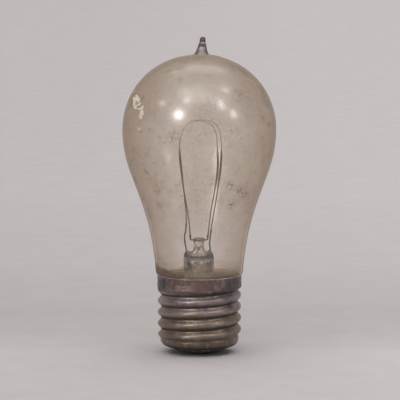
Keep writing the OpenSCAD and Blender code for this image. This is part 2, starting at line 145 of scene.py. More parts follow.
class LampCapSettings(bpy.types.PropertyGroup):
    thread_d: length("Thread Diameter", "Diameter over the thread crests", 26.4)
    thread_depth: length("Thread Depth", "Depth of the rolled thread", 1.1)
    thread_pitch: length("Thread Pitch", "Rise of the thread in one turn", 3.629)
    crest_z: length("Crest Height", "Height of a crest on the right-hand side", 14.6)
    collar_d: length("Collar Diameter", "Diameter of the plain collar", SHELL_HIGH[0] - SHELL_LOW[0])
    collar_h: length("Collar Height", "Height of the plain collar", 3.5)
    band_d: length("Band Diameter", "Diameter of the plain band below the thread", 24.7)
    band_z: length("Band Height", "Height where the band turns in", 4.2)
    foot_bend_r: length("Foot Bend", "Radius of the turned-in foot", 2.15)
    wall: length("Sheet Thickness", "Thickness of the brass sheet", 0.3)
    seal_z: length("Seal Height", "Height of the hidden neck end", GLASS_LOW[2])
    tarnish: colour("Tarnish", "Colour of the tarnished upper threads", "#8f8487")
    olive: colour("Olive Brass", "Colour of the lower threads and the band", "#75675b")
    collar: colour("Collar", "Colour of the stained collar", "#66565a")
    # the rubbed crests' colour: wear, and painted highlight
    worn_and_highlit: colour("Worn Brass", "Colour of the rubbed crests", "#c4b7aa")


class LampStageSettings(bpy.types.PropertyGroup):
    paper: colour("Backdrop", "Colour of the floor and the backdrop", "#c2bcbc")
    key: strength("Key Light", "Strength of the overhead light", 0.74)
    front: strength("Front Light", "Strength of the front light", 0.85)
    fill: strength("Fill Light", "Strength of the fill light", 0.45)
    room: strength("Room Light", "Strength of the room's light", 1.0)


GROUPS = {
    "lamp_bulb": LampBulbSettings,
    "lamp_mount": LampMountSettings,
    "lamp_cap": LampCapSettings,
    "lamp_stage": LampStageSettings,
}


def sizes(group):
    """A group's lengths in millimetres, and its other values as they are, by name."""
    found = {}
    for prop in group.bl_rna.properties:
        if prop.type == "FLOAT" and not prop.is_array:
            value = getattr(group, prop.identifier)
            found[prop.identifier] = value / MM if prop.unit == "LENGTH" else value
    return found


# ---- Surfaces ----


def cubic(a, b, c, d, count):
    """Points of the cubic curve from a to d, with b and c as its handles."""
    t = np.linspace(0, 1, count)[:, None]
    a, b, c, d = (np.asarray(p, float) for p in (a, b, c, d))
    return (1 - t) ** 3 * a + 3 * t * (1 - t) ** 2 * b + 3 * t ** 2 * (1 - t) * c + t ** 3 * d


def arc(centre, radius, start, end, count):
    """Points of a round arc from one angle to another, in degrees."""
    a = np.radians(np.linspace(start, end, count))[:, None]
    return np.asarray(centre, float) + radius * np.concatenate([np.cos(a), np.sin(a)], 1)


def even(points, step):
    """The same line with its points a step apart, measured along it."""
    points = np.asarray(points, float)
    run = np.concatenate([[0], np.cumsum(np.linalg.norm(np.diff(points, axis=0), axis=1))])
    at = np.linspace(0, run[-1], max(int(run[-1] / step), 2) + 1)
    return np.stack([np.interp(at, run, column) for column in points.T], 1)


def through(points, step):
    """A smooth line through points: each stretch is a cubic whose end slopes are half the way
    between its neighbours, and the points are then set a step apart."""
    p = np.asarray(points, float)
    p = np.concatenate([[2 * p[0] - p[1]], p, [2 * p[-1] - p[-2]]])
    t = np.linspace(0, 1, 24, endpoint=False)[None, :, None]
    a, b, c, d = (p[i:len(p) - 3 + i, None, :] for i in range(4))
    line = 0.5 * (2 * b + (c - a) * t + (2 * a - 5 * b + 4 * c - d) * t ** 2
                  + (3 * b - a - 3 * c + d) * t ** 3)
    return even(np.concatenate([line.reshape(-1, p.shape[1]), p[-2:-1]]), step)


def rounded_route(points, step):
    """A wire's route: between the middles of two legs it follows the curve (1-t)^2 a + 2t(1-t) p
    + t^2 c round the corner p, and the first and last half legs stay straight."""
    p = np.asarray(points, float)
    t = np.linspace(0, 1, 16, endpoint=False)[None, :, None]
    a, p1, c = (p[:-2] + p[1:-1])[:, None] / 2, p[1:-1, None], (p[1:-1] + p[2:])[:, None] / 2
    bends = ((1 - t) ** 2 * a + 2 * t * (1 - t) * p1 + t ** 2 * c).reshape(-1, 3)
    return even(np.concatenate([p[:1], bends, [(p[-2] + p[-1]) / 2], p[-1:]]), step)


def ring_angles(columns):
    """The angles of a ring's points, evenly spaced from 0 to a full turn, as one row."""
    return np.linspace(0, FULL_TURN, columns, endpoint=False)[None]


def turned_from(angle, start):
    """How far an angle lies from start, wrapped to between minus and plus half a turn."""
    return np.angle(np.exp(1j * (angle - start)))


def headings(line):
    """The direction of a line at each of its points, with length 1."""
    heading = np.gradient(line, axis=0)
    return heading / np.linalg.norm(heading, axis=1, keepdims=True)


def inset(outline, wall):
    """An outline moved by a wall's thickness, at each point square to its direction (x, y) and
    towards (y, -x)."""
    heading = headings(outline)
    return outline - wall * np.stack([-heading[:, 1], heading[:, 0]], 1)


def blob_rows(over, under, turn_back):
    """The rows of a flat blob as shares of its radius, out over its top and from turn_back in
    again under it, and which of them lie on top."""
    share = np.concatenate([np.linspace(0.03, 1, over), np.linspace(turn_back, 0.03, under)])
    return share[:, None], np.arange(over + under)[:, None] < over


def smooth_step(low, high, x):
    """0 below low, 1 above high, and a smooth rise 3t^2 - 2t^3 between."""
    t = np.clip((x - low) / (high - low), 0, 1)
    return t * t * (3 - 2 * t)


def ripple(x, y, seed, waves=7):
    """A seeded sum of a few sine waves over two coordinates, from about -1 to 1. x runs round
    the axis in radians, so each wave has a whole number of periods in it."""
    rng = np.random.default_rng(seed)
    turns = rng.integers(1, 6, waves)
    pace = rng.uniform(-1, 1, waves)
    shift = rng.uniform(0, FULL_TURN, waves)
    weight = 1 / (1 + turns)
    total = sum(w * np.sin(n * x + p * y + s) for w, n, p, s in zip(weight, turns, pace, shift))
    return total / weight.sum() * 1.6


def spots(points, marks):
    """For marks (x, y, z, radius), how near each point lies to its nearest mark: 1 at the mark's
    middle, falling smoothly to 0 at its radius."""
    marks = np.asarray(marks, float)
    nearest = np.zeros(points.shape[:-1])
    for mark in marks:
        away = np.linalg.norm(points - mark[:3], axis=-1) / mark[3]
        nearest = np.maximum(nearest, smooth_step(1, 0.2, away))
    return nearest


def spun(outline, columns):
    """A surface of revolution: each outline point (r, z) becomes a ring of radius r at height z."""
    a = ring_angles(columns)
    r, z = np.asarray(outline, float).T[:, :, None]
    return np.stack([r * np.cos(a), r * np.sin(a), z + 0 * a], 2)


def carried(path, radius, sides, side=(0, 1, 0)):
    """A round profile carried along a path: at each point a ring of the given radius lies across
    the path's direction, turned so that its first axis is across `side` too. The radius shrinks
    as a half circle over its own length at both ends, so the wire ends are round."""
    path = np.asarray(path, float)
    radius = np.broadcast_to(radius, len(path))
    heading = headings(path)
    cap_angles = np.radians([85, 60, 35, 15])
    caps, reach = np.cos(cap_angles), 1 - np.sin(cap_angles)
    first = path[:1] + (reach * radius[0])[:, None] * heading[:1]
    last = (path[-1:] - (reach * radius[-1])[:, None] * heading[-1:])[::-1]
    inside = slice(1, -1)
    line = np.concatenate([first, path[inside], last])
    along = np.concatenate([np.repeat(heading[:1], len(caps), 0), heading[inside],
                            np.repeat(heading[-1:], len(caps), 0)])
    size = np.concatenate([radius[0] * caps, radius[inside], radius[-1] * caps[::-1]])
    u = np.cross(along, np.asarray(side, float))
    u /= np.linalg.norm(u, axis=1, keepdims=True)
    v = np.cross(u, along)
    a = ring_angles(sides)[:, :, None]
    return line[:, None] + size[:, None, None] * (np.cos(a) * u[:, None] + np.sin(a) * v[:, None])


def piece(name, rings, material, stands_for=(), closed_loop=False, poles=None, marks=None):
    """A mesh from rings of points in millimetres. Neighbouring rings are joined by quads. The
    ends either join each other, when closed_loop is set, or close in a fan at a pole each, at
    the ring's own middle if none is given. marks are values per point, by name."""
    rings = np.asarray(rings, float)
    rows, columns = rings.shape[:2]
    points = rings.reshape(-1, 3)
    last_row = rows if closed_loop else rows - 1
    i, k = np.meshgrid(np.arange(last_row), np.arange(columns), indexing="ij")
    below, beside = (i + 1) % rows, (k + 1) % columns
    quads = np.stack([i * columns + k, below * columns + k, below * columns + beside,
                      i * columns + beside], 2).reshape(-1, 4)
    fans = np.zeros((0, 3), int)
    if not closed_loop:
        ends = [rings[0].mean(0), rings[-1].mean(0)] if poles is None else poles
        points = np.concatenate([points, ends])
        top, bottom, k = rows * columns, rows * columns + 1, np.arange(columns)
        base, beside = (rows - 1) * columns, (k + 1) % columns
        fans = np.concatenate([
            np.stack([0 * k + top, k, beside], 1),
            np.stack([0 * k + bottom, base + beside, base + k], 1),
        ])
    mesh = bpy.data.meshes.new(name)
    mesh.vertices.add(len(points))
    mesh.vertices.foreach_set("co", (points * MM).astype(np.float32).ravel())
    corners = np.concatenate([quads.ravel(), fans.ravel()])
    mesh.loops.add(len(corners))
    mesh.loops.foreach_set("vertex_index", corners.astype(np.int32))
    starts = np.concatenate([np.arange(len(quads)) * 4, len(quads) * 4 + np.arange(len(fans)) * 3])
    mesh.polygons.add(len(starts))
    mesh.polygons.foreach_set("loop_start", starts.astype(np.int32))
    mesh.polygons.foreach_set("use_smooth", np.ones(len(starts), bool))
    mesh.update(calc_edges=True)
    mesh.validate()
    for mark, values in (marks or {}).items():
        data = np.zeros(len(points), np.float32)
        data[:rows * columns] = np.broadcast_to(values, (rows, columns)).ravel()
        mesh.attributes.new(mark, "FLOAT", "POINT").data.foreach_set("value", data)
    former = bpy.data.objects.get(name)
    if former:
        bpy.data.objects.remove(former)
    ob = bpy.data.objects.new(name, mesh)
    bpy.context.scene.collection.objects.link(ob)
    mesh.materials.append(material)
    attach(ob, "root")
    if stands_for:
        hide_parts(*stands_for)
    return ob


# ---- Materials ----


# What a node of a kind does unless it is told otherwise: most of them multiply, or mix colours
USUAL_SETTINGS = {"Math": {"operation": "MULTIPLY"}, "Mix": {"data_type": "RGBA"}}


def add(tree, kind, inputs=None, **settings):
    """Adds one shader node with its settings over the usual ones. An input takes a value, an sRGB
    hex colour, a socket, or a node, whose first working output is then linked."""
    node = tree.nodes.new("ShaderNode" + kind)
    for name, value in {**USUAL_SETTINGS.get(kind, {}), **settings}.items():
        setattr(node, name, value)
    for key, value in (inputs or {}).items():
        if isinstance(value, bpy.types.Node):
            value = next(socket for socket in value.outputs if socket.enabled)
        if isinstance(value, bpy.types.NodeSocket):
            tree.links.new(value, node.inputs[key])
        else:
            node.inputs[key].default_value = (*linear(value), 1) if isinstance(value, str) else value
    return node


def new_material(name):
    """An empty material, with its own add function and its Object coordinates."""
    former = bpy.data.materials.get(name)
    if former:
        bpy.data.materials.remove(former)
    material = bpy.data.materials.new(name)
    material.use_nodes = True
    material.node_tree.nodes.clear()
    own_add = functools.partial(add, material.node_tree)
    return material, own_add, own_add("TexCoord").outputs["Object"]


def clouds(add, place, size_mm, low=0.0, high=1.0, detail=3.0, stretch=(1, 1, 1)):
    """Cloudy patches about size_mm across, drawn out by stretch along an axis, as a value that
    rises from 0 where the noise is low to 1 where it is high."""
    drawn = add("Mapping", {"Vector": place, "Scale": tuple(1 / s for s in stretch)})
    noise = add("TexNoise", {"Vector": drawn, "Scale": 1 / (size_mm * MM), "Detail": detail,
                             "Roughness": 0.6})
    return add("MapRange", {0: noise, 1: low, 2: high}, interpolation_type="SMOOTHSTEP")


def smoked_glass(settings):
    """Blown soda-lime bulb glass, browned by carbon from inside and dusted outside. It reads as
    clear thin glass under a warm veil that thickens towards the outline, with soft windows of
    light mirrored in it and a painted pale glow round them, scuffs, and a ring over the cap,
    dark with dirt and painted shade."""
    glass, add, place = new_material("blown_soda_glass_smoked")
    facing = add("LayerWeight", {"Blend": 0.5}).outputs["Facing"]
    wear, grime, frost, dulled, wiped, outside = (
        add("Attribute", attribute_name=mark).outputs["Fac"]
        for mark in ("wear", "grime", "frost", "dulled", "wiped", "outside"))

    # the smoke: a light tint seen straight on, a browner one where sight runs along the wall, and
    # twice that at the rim, where sight stays inside the glass
    slant = add("Math", {0: facing, 1: 0.62})
    tint = add("Mix", {0: slant, 6: (*settings.smoke, 1), 7: "#e1d7cb"})
    rim = add("MapRange", {0: facing, 1: 0.7, 2: 0.8}, interpolation_type="SMOOTHSTEP")
    rim = add("Math", {0: rim, 1: outside})
    tint = add("Mix", {0: rim, 6: tint, 7: "#e0d9d2"})
    clear = add("BsdfTransparent", {"Color": tint})

    # the dirt: crumbly scuffs, strewn crumbs, hairline streaks and specks, all drawn coarser than
    # real dust, which is too fine to see; then the ring at the neck, dark with dirt and painted
    # shade, and the pale bloom with a painted glow round the highlights
    crumbs = clouds(add, place, 0.5, 0.43, 0.63, 4)
    scuffs = add("Math", {0: wear, 1: crumbs})
    strewn = add("Math", {0: clouds(add, place, 0.9, 0.6, 0.7, 3),
                          1: clouds(add, place, 9, 0.42, 0.62, 1)})
    strewn = add("Math", {0: strewn, 1: 0.16})
    line = add("TexNoise", {"Vector": place, "Scale": 1 / (7 * MM), "Detail": 2.0})
    line = add("Math", {0: add("Math", {0: line, 1: 0.5}, operation="SUBTRACT")}, operation="ABSOLUTE")
    hairs = add("MapRange", {0: line, 1: 0.003, 2: 0.012, 3: 0.45, 4: 0.0})
    hairs = add("Math", {0: hairs, 1: clouds(add, place, 8, 0.5, 0.6, 2)})
    cells = add("TexVoronoi", {"Vector": place, "Scale": 1 / (2.6 * MM), "Randomness": 1.0})
    chosen = add("MapRange", {0: add("SeparateColor", {0: cells.outputs["Color"]}), 1: 0.66, 2: 0.7})
    dots = add("MapRange", {0: cells.outputs["Distance"], 1: 0.1, 2: 0.18, 3: 0.6, 4: 0.0})
    specks = add("Math", {0: chosen, 1: dots})
    # the ring over the cap: dirt, and painted shade where the glass meets the cap
    neck_dirt_and_shade = add("Math", {0: grime, 1: clouds(add, place, 3.0, 0.12, 0.46, 4)})
    dirt = functools.reduce(lambda a, b: add("Math", {0: a, 1: b}, operation="MAXIMUM"),
                            (scuffs, strewn, hairs, specks))
    unwiped = add("MapRange", {0: wiped, 3: 1.0, 4: 0.0})
    dirt = add("Math", {0: dirt, 1: unwiped})
    dirt = add("Math", {0: dirt, 1: neck_dirt_and_shade}, operation="MAXIMUM")
    # frost: the pale bloom on the neck, and a painted glow of light round the highlights
    uneven = add("MapRange", {0: clouds(add, place, 1.2, 0.36, 0.62, 4), 3: 0.5})
    bloom_and_glow = add("Math", {0: frost, 1: uneven})

    # the veil of dust: a soft one with finer mottling in it, and more of it on the bloom, on the
    # painted glow round the highlights, and at the rim
    veil = add("MapRange", {0: clouds(add, place, 6.0, 0.35, 0.65, 3), 3: 0.07, 4: 0.13})
    mottling = add("MapRange", {0: clouds(add, place, 1.1, 0.35, 0.65, 4), 3: -0.012, 4: 0.03})
    veil = add("Math", {0: veil, 1: mottling}, operation="ADD")
    veil = add("Math", {0: veil, 1: unwiped})
    veil = add("Math", {0: bloom_and_glow, 1: 0.32, 2: veil}, operation="MULTIPLY_ADD")
    veil = add("Math", {0: rim, 1: 0.1, 2: veil}, operation="MULTIPLY_ADD")
    cover = add("Math", {0: veil, 1: add("Math", {0: dirt, 1: 0.8})},
                operation="MAXIMUM")
    dust = add("Mix", {0: facing, 6: (*settings.dust, 1), 7: "#a08f7d"})
    dust = add("Mix", {0: bloom_and_glow, 6: dust, 7: "#e6ded6"})
    dust = add("Mix", {0: dirt, 6: dust, 7: "#644932"})
    film = add("MixShader", {0: 0.5, 1: add("BsdfDiffuse", {"Color": dust}),
                             2: add("BsdfTranslucent", {"Color": dust})})
    hazed = add("MixShader", {0: cover, 1: clear, 2: film})

    # the polish: a 4.5% mirror straight on and more along the wall, dulled in places, of which the
    # dust spreads two thirds widely
    mirror = add("Math", {0: add("Math", {0: facing, 1: 5.0}, operation="POWER"), 1: 0.12, 2: 0.045},
                 operation="MULTIPLY_ADD")
    polished = add("MapRange", {0: dulled, 3: 1.0, 4: 0.2})
    mirror = add("Math", {0: mirror, 1: polished})
    gloss = add("MixShader", {0: 0.66, 1: add("BsdfGlossy", {"Color": "#ffffff", "Roughness": 0.19}),
                              2: add("BsdfGlossy", {"Color": "#ffffff", "Roughness": 0.34})})
    add("OutputMaterial", {"Surface": add("MixShader", {0: mirror, 1: hazed, 2: gloss})})
    return glass


def flame_drawn_glass():
    """The melted-off end of the exhaust tube: thick soda-lime glass worked in a flame. It is
    clear in the middle, painted dark at its edges for the dark that thick glass bends into
    view, and burnt grey-brown at its head and in rings."""
    glass, add, place = new_material("flame_drawn_soda_glass")
    height = add("SeparateXYZ", {0: place}).outputs["Z"]
    facing = add("LayerWeight", {"Blend": 0.5}).outputs["Facing"]
    edge = add("MapRange", {0: facing, 1: 0.2, 2: 0.7}, interpolation_type="SMOOTHSTEP")
    thick = add("BsdfPrincipled", {
        "Base Color": add("Mix", {0: edge, 6: "#f4f0ec", 7: "#62554d"}),
        "Roughness": 0.04, "IOR": 1.52, "Transmission Weight": 1.0,
        "Normal": add("Bump", {"Height": clouds(add, place, 1.0), "Distance": 0.25 * MM}),
    })
    # burnt bands by height: the foot, a ring below the waist, and the head with its dark underside
    wander = add("Math", {0: clouds(add, place, 1.2), 1: 0.5 * MM, 2: height}, operation="MULTIPLY_ADD")
    band = add("ValToRGB", {0: add("MapRange", {0: wander, 1: 94 * MM, 2: 101 * MM})})
    stops = band.color_ramp.elements
    stops[0].color, stops[1].color = (0.3, 0.3, 0.3, 1), (0.55, 0.55, 0.55, 1)
    for at, share in ((0.1, 0.6), (0.2, 0.12), (0.46, 0.08), (0.5, 0.75), (0.54, 0.7), (0.58, 0.05),
                      (0.66, 0.05), (0.7, 0.95), (0.77, 0.9), (0.82, 0.45)):
        stops.new(at).color = (share, share, share, 1)
    burnt = add("Math", {0: band, 1: clouds(add, place, 1.3, 0.25, 0.48, 2)})
    char = add("Mix", {0: clouds(add, place, 0.6, 0.4, 0.6), 6: "#6b5d57", 7: "#41363a"})
    scorch = add("BsdfDiffuse", {"Color": char})
    seen = add("MixShader", {0: burnt, 1: thick, 2: scorch})
    # painted shade: dark diffuse at the edges, for the dark that thick glass bends into view
    painted_dark = add("Math", {0: edge, 1: 0.7})
    seen = add("MixShader", {0: painted_dark, 1: seen, 2: add("BsdfDiffuse", {"Color": "#5a4f49"})})
    lit = add("MixShader", {0: add("LightPath").outputs["Is Shadow Ray"], 1: seen,
                            2: add("BsdfTransparent", {"Color": "#e6dfd6"})})
    add("OutputMaterial", {"Surface": lit})
    return glass


def lamp_worked_glass():
    """Lead-glass tube, flared and pinched shut in a flame. It is thick, greyish and full of
    small waves and cords; painted glints, painted dark streaks and a painted dark band under the
    shoulder stand for the light and shade that its glass bends into view."""
    glass, add, place = new_material("lamp_worked_lead_glass")
    facing = add("LayerWeight", {"Blend": 0.5}).outputs["Facing"]
    edge = add("MapRange", {0: facing, 1: 0.3, 2: 0.9, 4: 0.8}, interpolation_type="SMOOTHSTEP")
    seeds = clouds(add, place, 0.9, 0.3, 0.7)
    cords = clouds(add, place, 0.9, 0.44, 0.62, 3, (1, 1, 4))
    waves = clouds(add, place, 2.2, 0.25, 0.75, 2, (1, 1, 2))
    glint, pinch, streak = (add("Attribute", attribute_name=mark).outputs["Fac"]
                            for mark in ("glint", "pinch", "streak"))
    relief = add("Math", {0: seeds, 1: 0.3, 2: waves}, operation="MULTIPLY_ADD")
    tint = add("Mix", {0: cords, 6: "#eeeae8", 7: "#cfc8c4"})
    # painted shade: the tint darkens in the band under the shoulder
    tint = add("Mix", {0: pinch, 6: tint, 7: "#7c7371"})
    thick = add("BsdfPrincipled", {
        "Base Color": add("Mix", {0: edge, 6: tint, 7: "#958d8b"}),
        "Roughness": 0.05, "IOR": 1.54, "Transmission Weight": 1.0,
        "Normal": add("Bump", {"Height": relief, "Distance": 0.45 * MM}),
    })
    # painted glints: pale and white diffuse where the waves would catch the light
    glint = add("Math", {0: glint, 1: clouds(add, place, 0.9, 0.15, 0.5, 3, (1, 1, 2))})
    bright = add("Mix", {0: glint, 6: "#c9beb2", 7: "#ffffff"})
    cover = add("Math", {0: glint, 1: 0.66, 2: add("MapRange", {0: waves, 3: 0.02, 4: 0.12})},
                operation="MULTIPLY_ADD")
    seen = add("MixShader", {0: cover, 1: thick, 2: add("BsdfDiffuse", {"Color": bright})})
    # dark cords, and painted shade on the edges that the glass bends into view
    streak = add("Math", {0: streak, 1: clouds(add, place, 0.7, 0.1, 0.45, 3, (1, 1, 3))})
    streak = add("Math", {0: streak, 1: 0.75})
    seen = add("MixShader", {0: streak, 1: seen, 2: add("BsdfDiffuse", {"Color": "#191416"})})
    lit = add("MixShader", {0: add("LightPath").outputs["Is Shadow Ray"], 1: seen,
                            2: add("BsdfTransparent", {"Color": "#e2dad0"})})
    add("OutputMaterial", {"Surface": lit})
    return glass


def treated_carbon(settings):
    """Cellulose thread baked to carbon and flashed in vapour: matt and nearly black on its legs,
    and painted paler grey round the top, for the veil of light that the glass in front reflects
    over it."""
    carbon, add, place = new_material("flashed_carbon")
    height = add("SeparateXYZ", {0: place}).outputs["Z"]
    # the real grain is a tenth of this size, too fine to see
    grain = clouds(add, place, 0.3, 0.35, 0.7)
    fresh = add("Mix", {0: grain, 6: (*settings.carbon, 1), 7: "#463a31"})
    # painted light: the top is paler, for the reflected light that veils it
    veiled_top = add("MapRange", {0: height, 1: 61 * MM, 2: 67 * MM, 4: 0.95}, interpolation_type="SMOOTHSTEP")
    skin = add("BsdfPrincipled", {
        "Base Color": add("Mix", {0: veiled_top, 6: fresh, 7: (*settings.veiled_top, 1)}),
        "Roughness": add("MapRange", {0: grain, 3: 0.45, 4: 0.65}),
        "Normal": add("Bump", {"Height": grain, "Distance": 0.03 * MM}),
    })
    add("OutputMaterial", {"Surface": skin})
    return carbon


def carbon_paste():
    """Soot and syrup paste baked hard: matt, crusty and black."""
    paste, add, place = new_material("baked_carbon_paste")
    # the crust is drawn coarser than its real grain
    crust = clouds(add, place, 0.2, 0.35, 0.7, 4)
    skin = add("BsdfPrincipled", {
        "Base Color": add("Mix", {0: crust, 6: "#2c2622", 7: "#574d45"}),
        "Roughness": add("MapRange", {0: crust, 3: 0.6, 4: 0.85}),
        "Normal": add("Bump", {"Height": crust, "Distance": 0.1 * MM}),
    })
    add("OutputMaterial", {"Surface": skin})
    return paste


def drawn_wire(name, bright, dull, roughness):
    """Drawn metal wire gone dull: fine marks along it and soft patches of oxide."""
    wire, add, place = new_material(name)
    oxide = clouds(add, place, 0.9, 0.35, 0.65)
    # the marks are drawn coarser than a real die leaves them
    marks = clouds(add, place, 0.12, 0.2, 0.8, 2, (1, 1, 6))
    skin = add("BsdfPrincipled", {
        "Base Color": add("Mix", {0: oxide, 6: bright, 7: dull}),
        "Metallic": add("MapRange", {0: oxide, 3: 1.0, 4: 0.55}),
        "Roughness": add("MapRange", {0: oxide, 3: roughness, 4: roughness + 0.22}),
        "Normal": add("Bump", {"Height": marks, "Distance": 0.012 * MM}),
    })
    add("OutputMaterial", {"Surface": skin})
    return wire


def tarnished_brass(settings):
    """Spun and rolled sheet brass, never cleaned: purple-grey oxide above, olive brown below,
    worn paler on the crests with painted highlights there and along the rim's edge, black dirt
    in the grooves with painted shade on each crest's lower flank, under the collar and round
    the foot, and on the collar stains, painted shade at its sides, and scratches."""
    brass, add, place = new_material("rolled_brass_tarnished")
    height = add("SeparateXYZ", {0: place}).outputs["Z"]
    dirt, crest, scratched = (add("Attribute", attribute_name=mark).outputs["Fac"]
                              for mark in ("dirt", "crest", "scratched"))
    # the mottling and the streaks are drawn coarser than real oxide, which is too fine to see
    patches = clouds(add, place, 4.5, 0.42, 0.68, 4)
    fine = clouds(add, place, 1.2, 0.3, 0.7, 3)
    streaks = clouds(add, place, 1.0, 0.4, 0.7, 3, (8, 8, 0.6))

    wander = add("Math", {0: patches, 1: 5 * MM, 2: height}, operation="MULTIPLY_ADD")
    upper = add("MapRange", {0: wander, 1: 12.5 * MM, 2: 18 * MM}, interpolation_type="SMOOTHSTEP")
    tone = add("Mix", {0: upper, 6: (*settings.olive, 1), 7: (*settings.tarnish, 1)})
    collar = add("MapRange", {0: height, 1: 20.4 * MM, 2: 21.4 * MM, 4: 0.85},
                 interpolation_type="SMOOTHSTEP")
    tone = add("Mix", {0: collar, 6: tone, 7: (*settings.collar, 1)})
    blotches = clouds(add, place, 1.5, 0.48, 0.64, 4)
    for pattern, most, text in ((streaks, 0.75, "#705742"), (patches, 0.45, "#4e4644"),
                                (blotches, 0.5, "#9a8b81")):
        tone = add("Mix", {0: add("Math", {0: pattern, 1: most}), 6: tone, 7: text})
    # rust is a stain; the green-black is stain, and painted shade on the collar's sides
    for stain, text in (("rust", "#7d615a"), ("verdigris", "#3a403c")):
        spread = add("Attribute", attribute_name=stain).outputs["Fac"]
        spread = add("Math", {0: spread, 1: clouds(add, place, 0.9, 0.2, 0.65, 4)})
        tone = add("Mix", {0: spread, 6: tone, 7: text})

    # scratches: thin lines where a stretched, tilted noise passes its middle value
    tilted = add("Mapping", {"Vector": place, "Rotation": (0, math.radians(38), 0),
                             "Scale": (0.25, 1, 6)})
    line = add("TexNoise", {"Vector": tilted, "Scale": 1 / (7 * MM), "Detail": 0.0})
    line = add("Math", {0: add("Math", {0: line, 1: 0.5}, operation="SUBTRACT")}, operation="ABSOLUTE")
    line = add("MapRange", {0: line, 1: 0.012, 2: 0.04, 3: 1.0, 4: 0.0})
    scratch = add("Math", {0: add("Math", {0: line, 1: scratched}), 1: 0.75})
    tone = add("Mix", {0: scratch, 6: tone, 7: "#c9beb3"})

    # the crests rubbed paler: wear, and painted highlight
    worn_and_highlit = add("Math", {0: crest, 1: clouds(add, place, 1.4, 0.3, 0.7, 3, (6, 6, 1))})
    worn_and_highlit = add("Math", {0: worn_and_highlit, 1: 0.24})
    tone = add("Mix", {0: worn_and_highlit, 6: tone, 7: (*settings.worn_and_highlit, 1)})
    # the grooves: dirt, and painted shade on the lower flanks, under the collar and at the foot
    tone = add("Mix", {0: dirt, 6: tone, 7: "#2a221d"})
    relief = add("Math", {0: fine, 1: 0.6, 2: streaks}, operation="MULTIPLY_ADD")
    relief = add("Math", {0: scratch, 1: -0.8, 2: relief}, operation="MULTIPLY_ADD")
    skin = add("BsdfPrincipled", {
        "Base Color": tone,
        "Metallic": add("MapRange", {0: dirt, 3: 0.6, 4: 0.1}),
        "Roughness": add("Math", {0: add("MapRange", {0: fine, 3: 0.32, 4: 0.46}), 1: dirt},
                         operation="MAXIMUM"),
        "Normal": add("Bump", {"Height": relief, "Distance": 0.03 * MM}),
    })
    add("OutputMaterial", {"Surface": skin})
    return brass


def aged_plaster():
    """Plaster of Paris squeezed out at the rim: chalky, pitted and grey-brown with dirt."""
    plaster, add, place = new_material("basing_plaster")
    pits = clouds(add, place, 0.4, 0.3, 0.7, 5)
    skin = add("BsdfPrincipled", {
        "Base Color": add("Mix", {0: clouds(add, place, 2.4, 0.35, 0.62), 6: "#eae0d8", 7: "#b9aca2"}),
        "Roughness": add("MapRange", {0: pits, 3: 0.72, 4: 0.92}),
        "Normal": add("Bump", {"Height": pits, "Distance": 0.12 * MM}),
    })
    add("OutputMaterial", {"Surface": skin})
    return plaster


def black_vitrified_insulator():
    """Black glass moulded hot round the contact: deep black, glossy where clean, dusty and
    faintly waved from the mould."""
    insulator, add, place = new_material("moulded_black_glass")
    dust = clouds(add, place, 1.6, 0.4, 0.68, 4)
    skin = add("BsdfPrincipled", {
        "Base Color": add("Mix", {0: dust, 6: "#4c4850", 7: "#6e6769"}),
        "Roughness": add("MapRange", {0: dust, 3: 0.15, 4: 0.36}),
        "Normal": add("Bump", {"Height": clouds(add, place, 2.2), "Distance": 0.2 * MM}),
    })
    add("OutputMaterial", {"Surface": skin})
    return insulator


def worn_contact_brass():
    """Stamped brass disc: turning marks round the middle, worn bright by the holder's spring."""
    brass, add, place = new_material("stamped_contact_brass")
    away = add("VectorMath", {0: place}, operation="LENGTH").outputs["Value"]
    turned = add("TexWave", {"Vector": place, "Scale": 1 / (0.45 * MM) / FULL_TURN, "Distortion": 1.2,
                             "Detail": 2.0}, wave_type="RINGS", rings_direction="Z").outputs["Fac"]
    stain = clouds(add, place, 1.6, 0.38, 0.64, 4)
    tone = add("Mix", {0: stain, 6: "#8d7c58", 7: "#54483a"})
    bright = add("MapRange", {0: away, 1: 3.8 * MM, 2: 1.9 * MM, 4: 0.6},
                 interpolation_type="SMOOTHSTEP")
    relief = add("Math", {0: turned, 1: 0.5, 2: stain}, operation="MULTIPLY_ADD")
    skin = add("BsdfPrincipled", {
        "Base Color": add("Mix", {0: bright, 6: tone, 7: "#b9a273"}), "Metallic": 0.95,
        "Roughness": add("MapRange", {0: stain, 3: 0.28, 4: 0.5}),
        "Normal": add("Bump", {"Height": relief, "Distance": 0.03 * MM}),
    })
    add("OutputMaterial", {"Surface": skin})
    return brass


def dull_solder():
    """Tin-lead solder set in a blob: soft grey metal with a frosty skin."""
    solder, add, place = new_material("tin_lead_solder")
    frost = clouds(add, place, 0.5, 0.38, 0.66, 4)
    skin = add("BsdfPrincipled", {
        "Base Color": add("Mix", {0: frost, 6: "#96938e", 7: "#5d5a57"}), "Metallic": 0.9,
        "Roughness": add("MapRange", {0: frost, 3: 0.32, 4: 0.55}),
        "Normal": add("Bump", {"Height": frost, "Distance": 0.06 * MM}),
    })
    add("OutputMaterial", {"Surface": skin})
    return solder


def old_cream_paint():
    """Last flakes of cream oil paint: chalky, curling, dark with dirt along the broken edge."""
    paint, add, place = new_material("old_cream_paint")
    edge = add("Attribute", attribute_name="edge").outputs["Fac"]
    chalk = clouds(add, place, 0.7, 0.3, 0.68, 4)
    broken = add("Math", {0: chalk, 1: 0.25, 2: edge}, operation="MULTIPLY_ADD")
    broken = add("MapRange", {0: broken, 1: 1.06, 2: 1.24}, interpolation_type="SMOOTHSTEP")
    tone = add("Mix", {0: chalk, 6: "#f3e8d8", 7: "#cfc1ab"})
    skin = add("BsdfPrincipled", {
        "Base Color": add("Mix", {0: broken, 6: tone, 7: "#5f4f3f"}),
        "Roughness": add("MapRange", {0: chalk, 3: 0.6, 4: 0.8}),
        "Normal": add("Bump", {"Height": chalk, "Distance": 0.1 * MM}),
    })
    add("OutputMaterial", {"Surface": skin})
    return paint


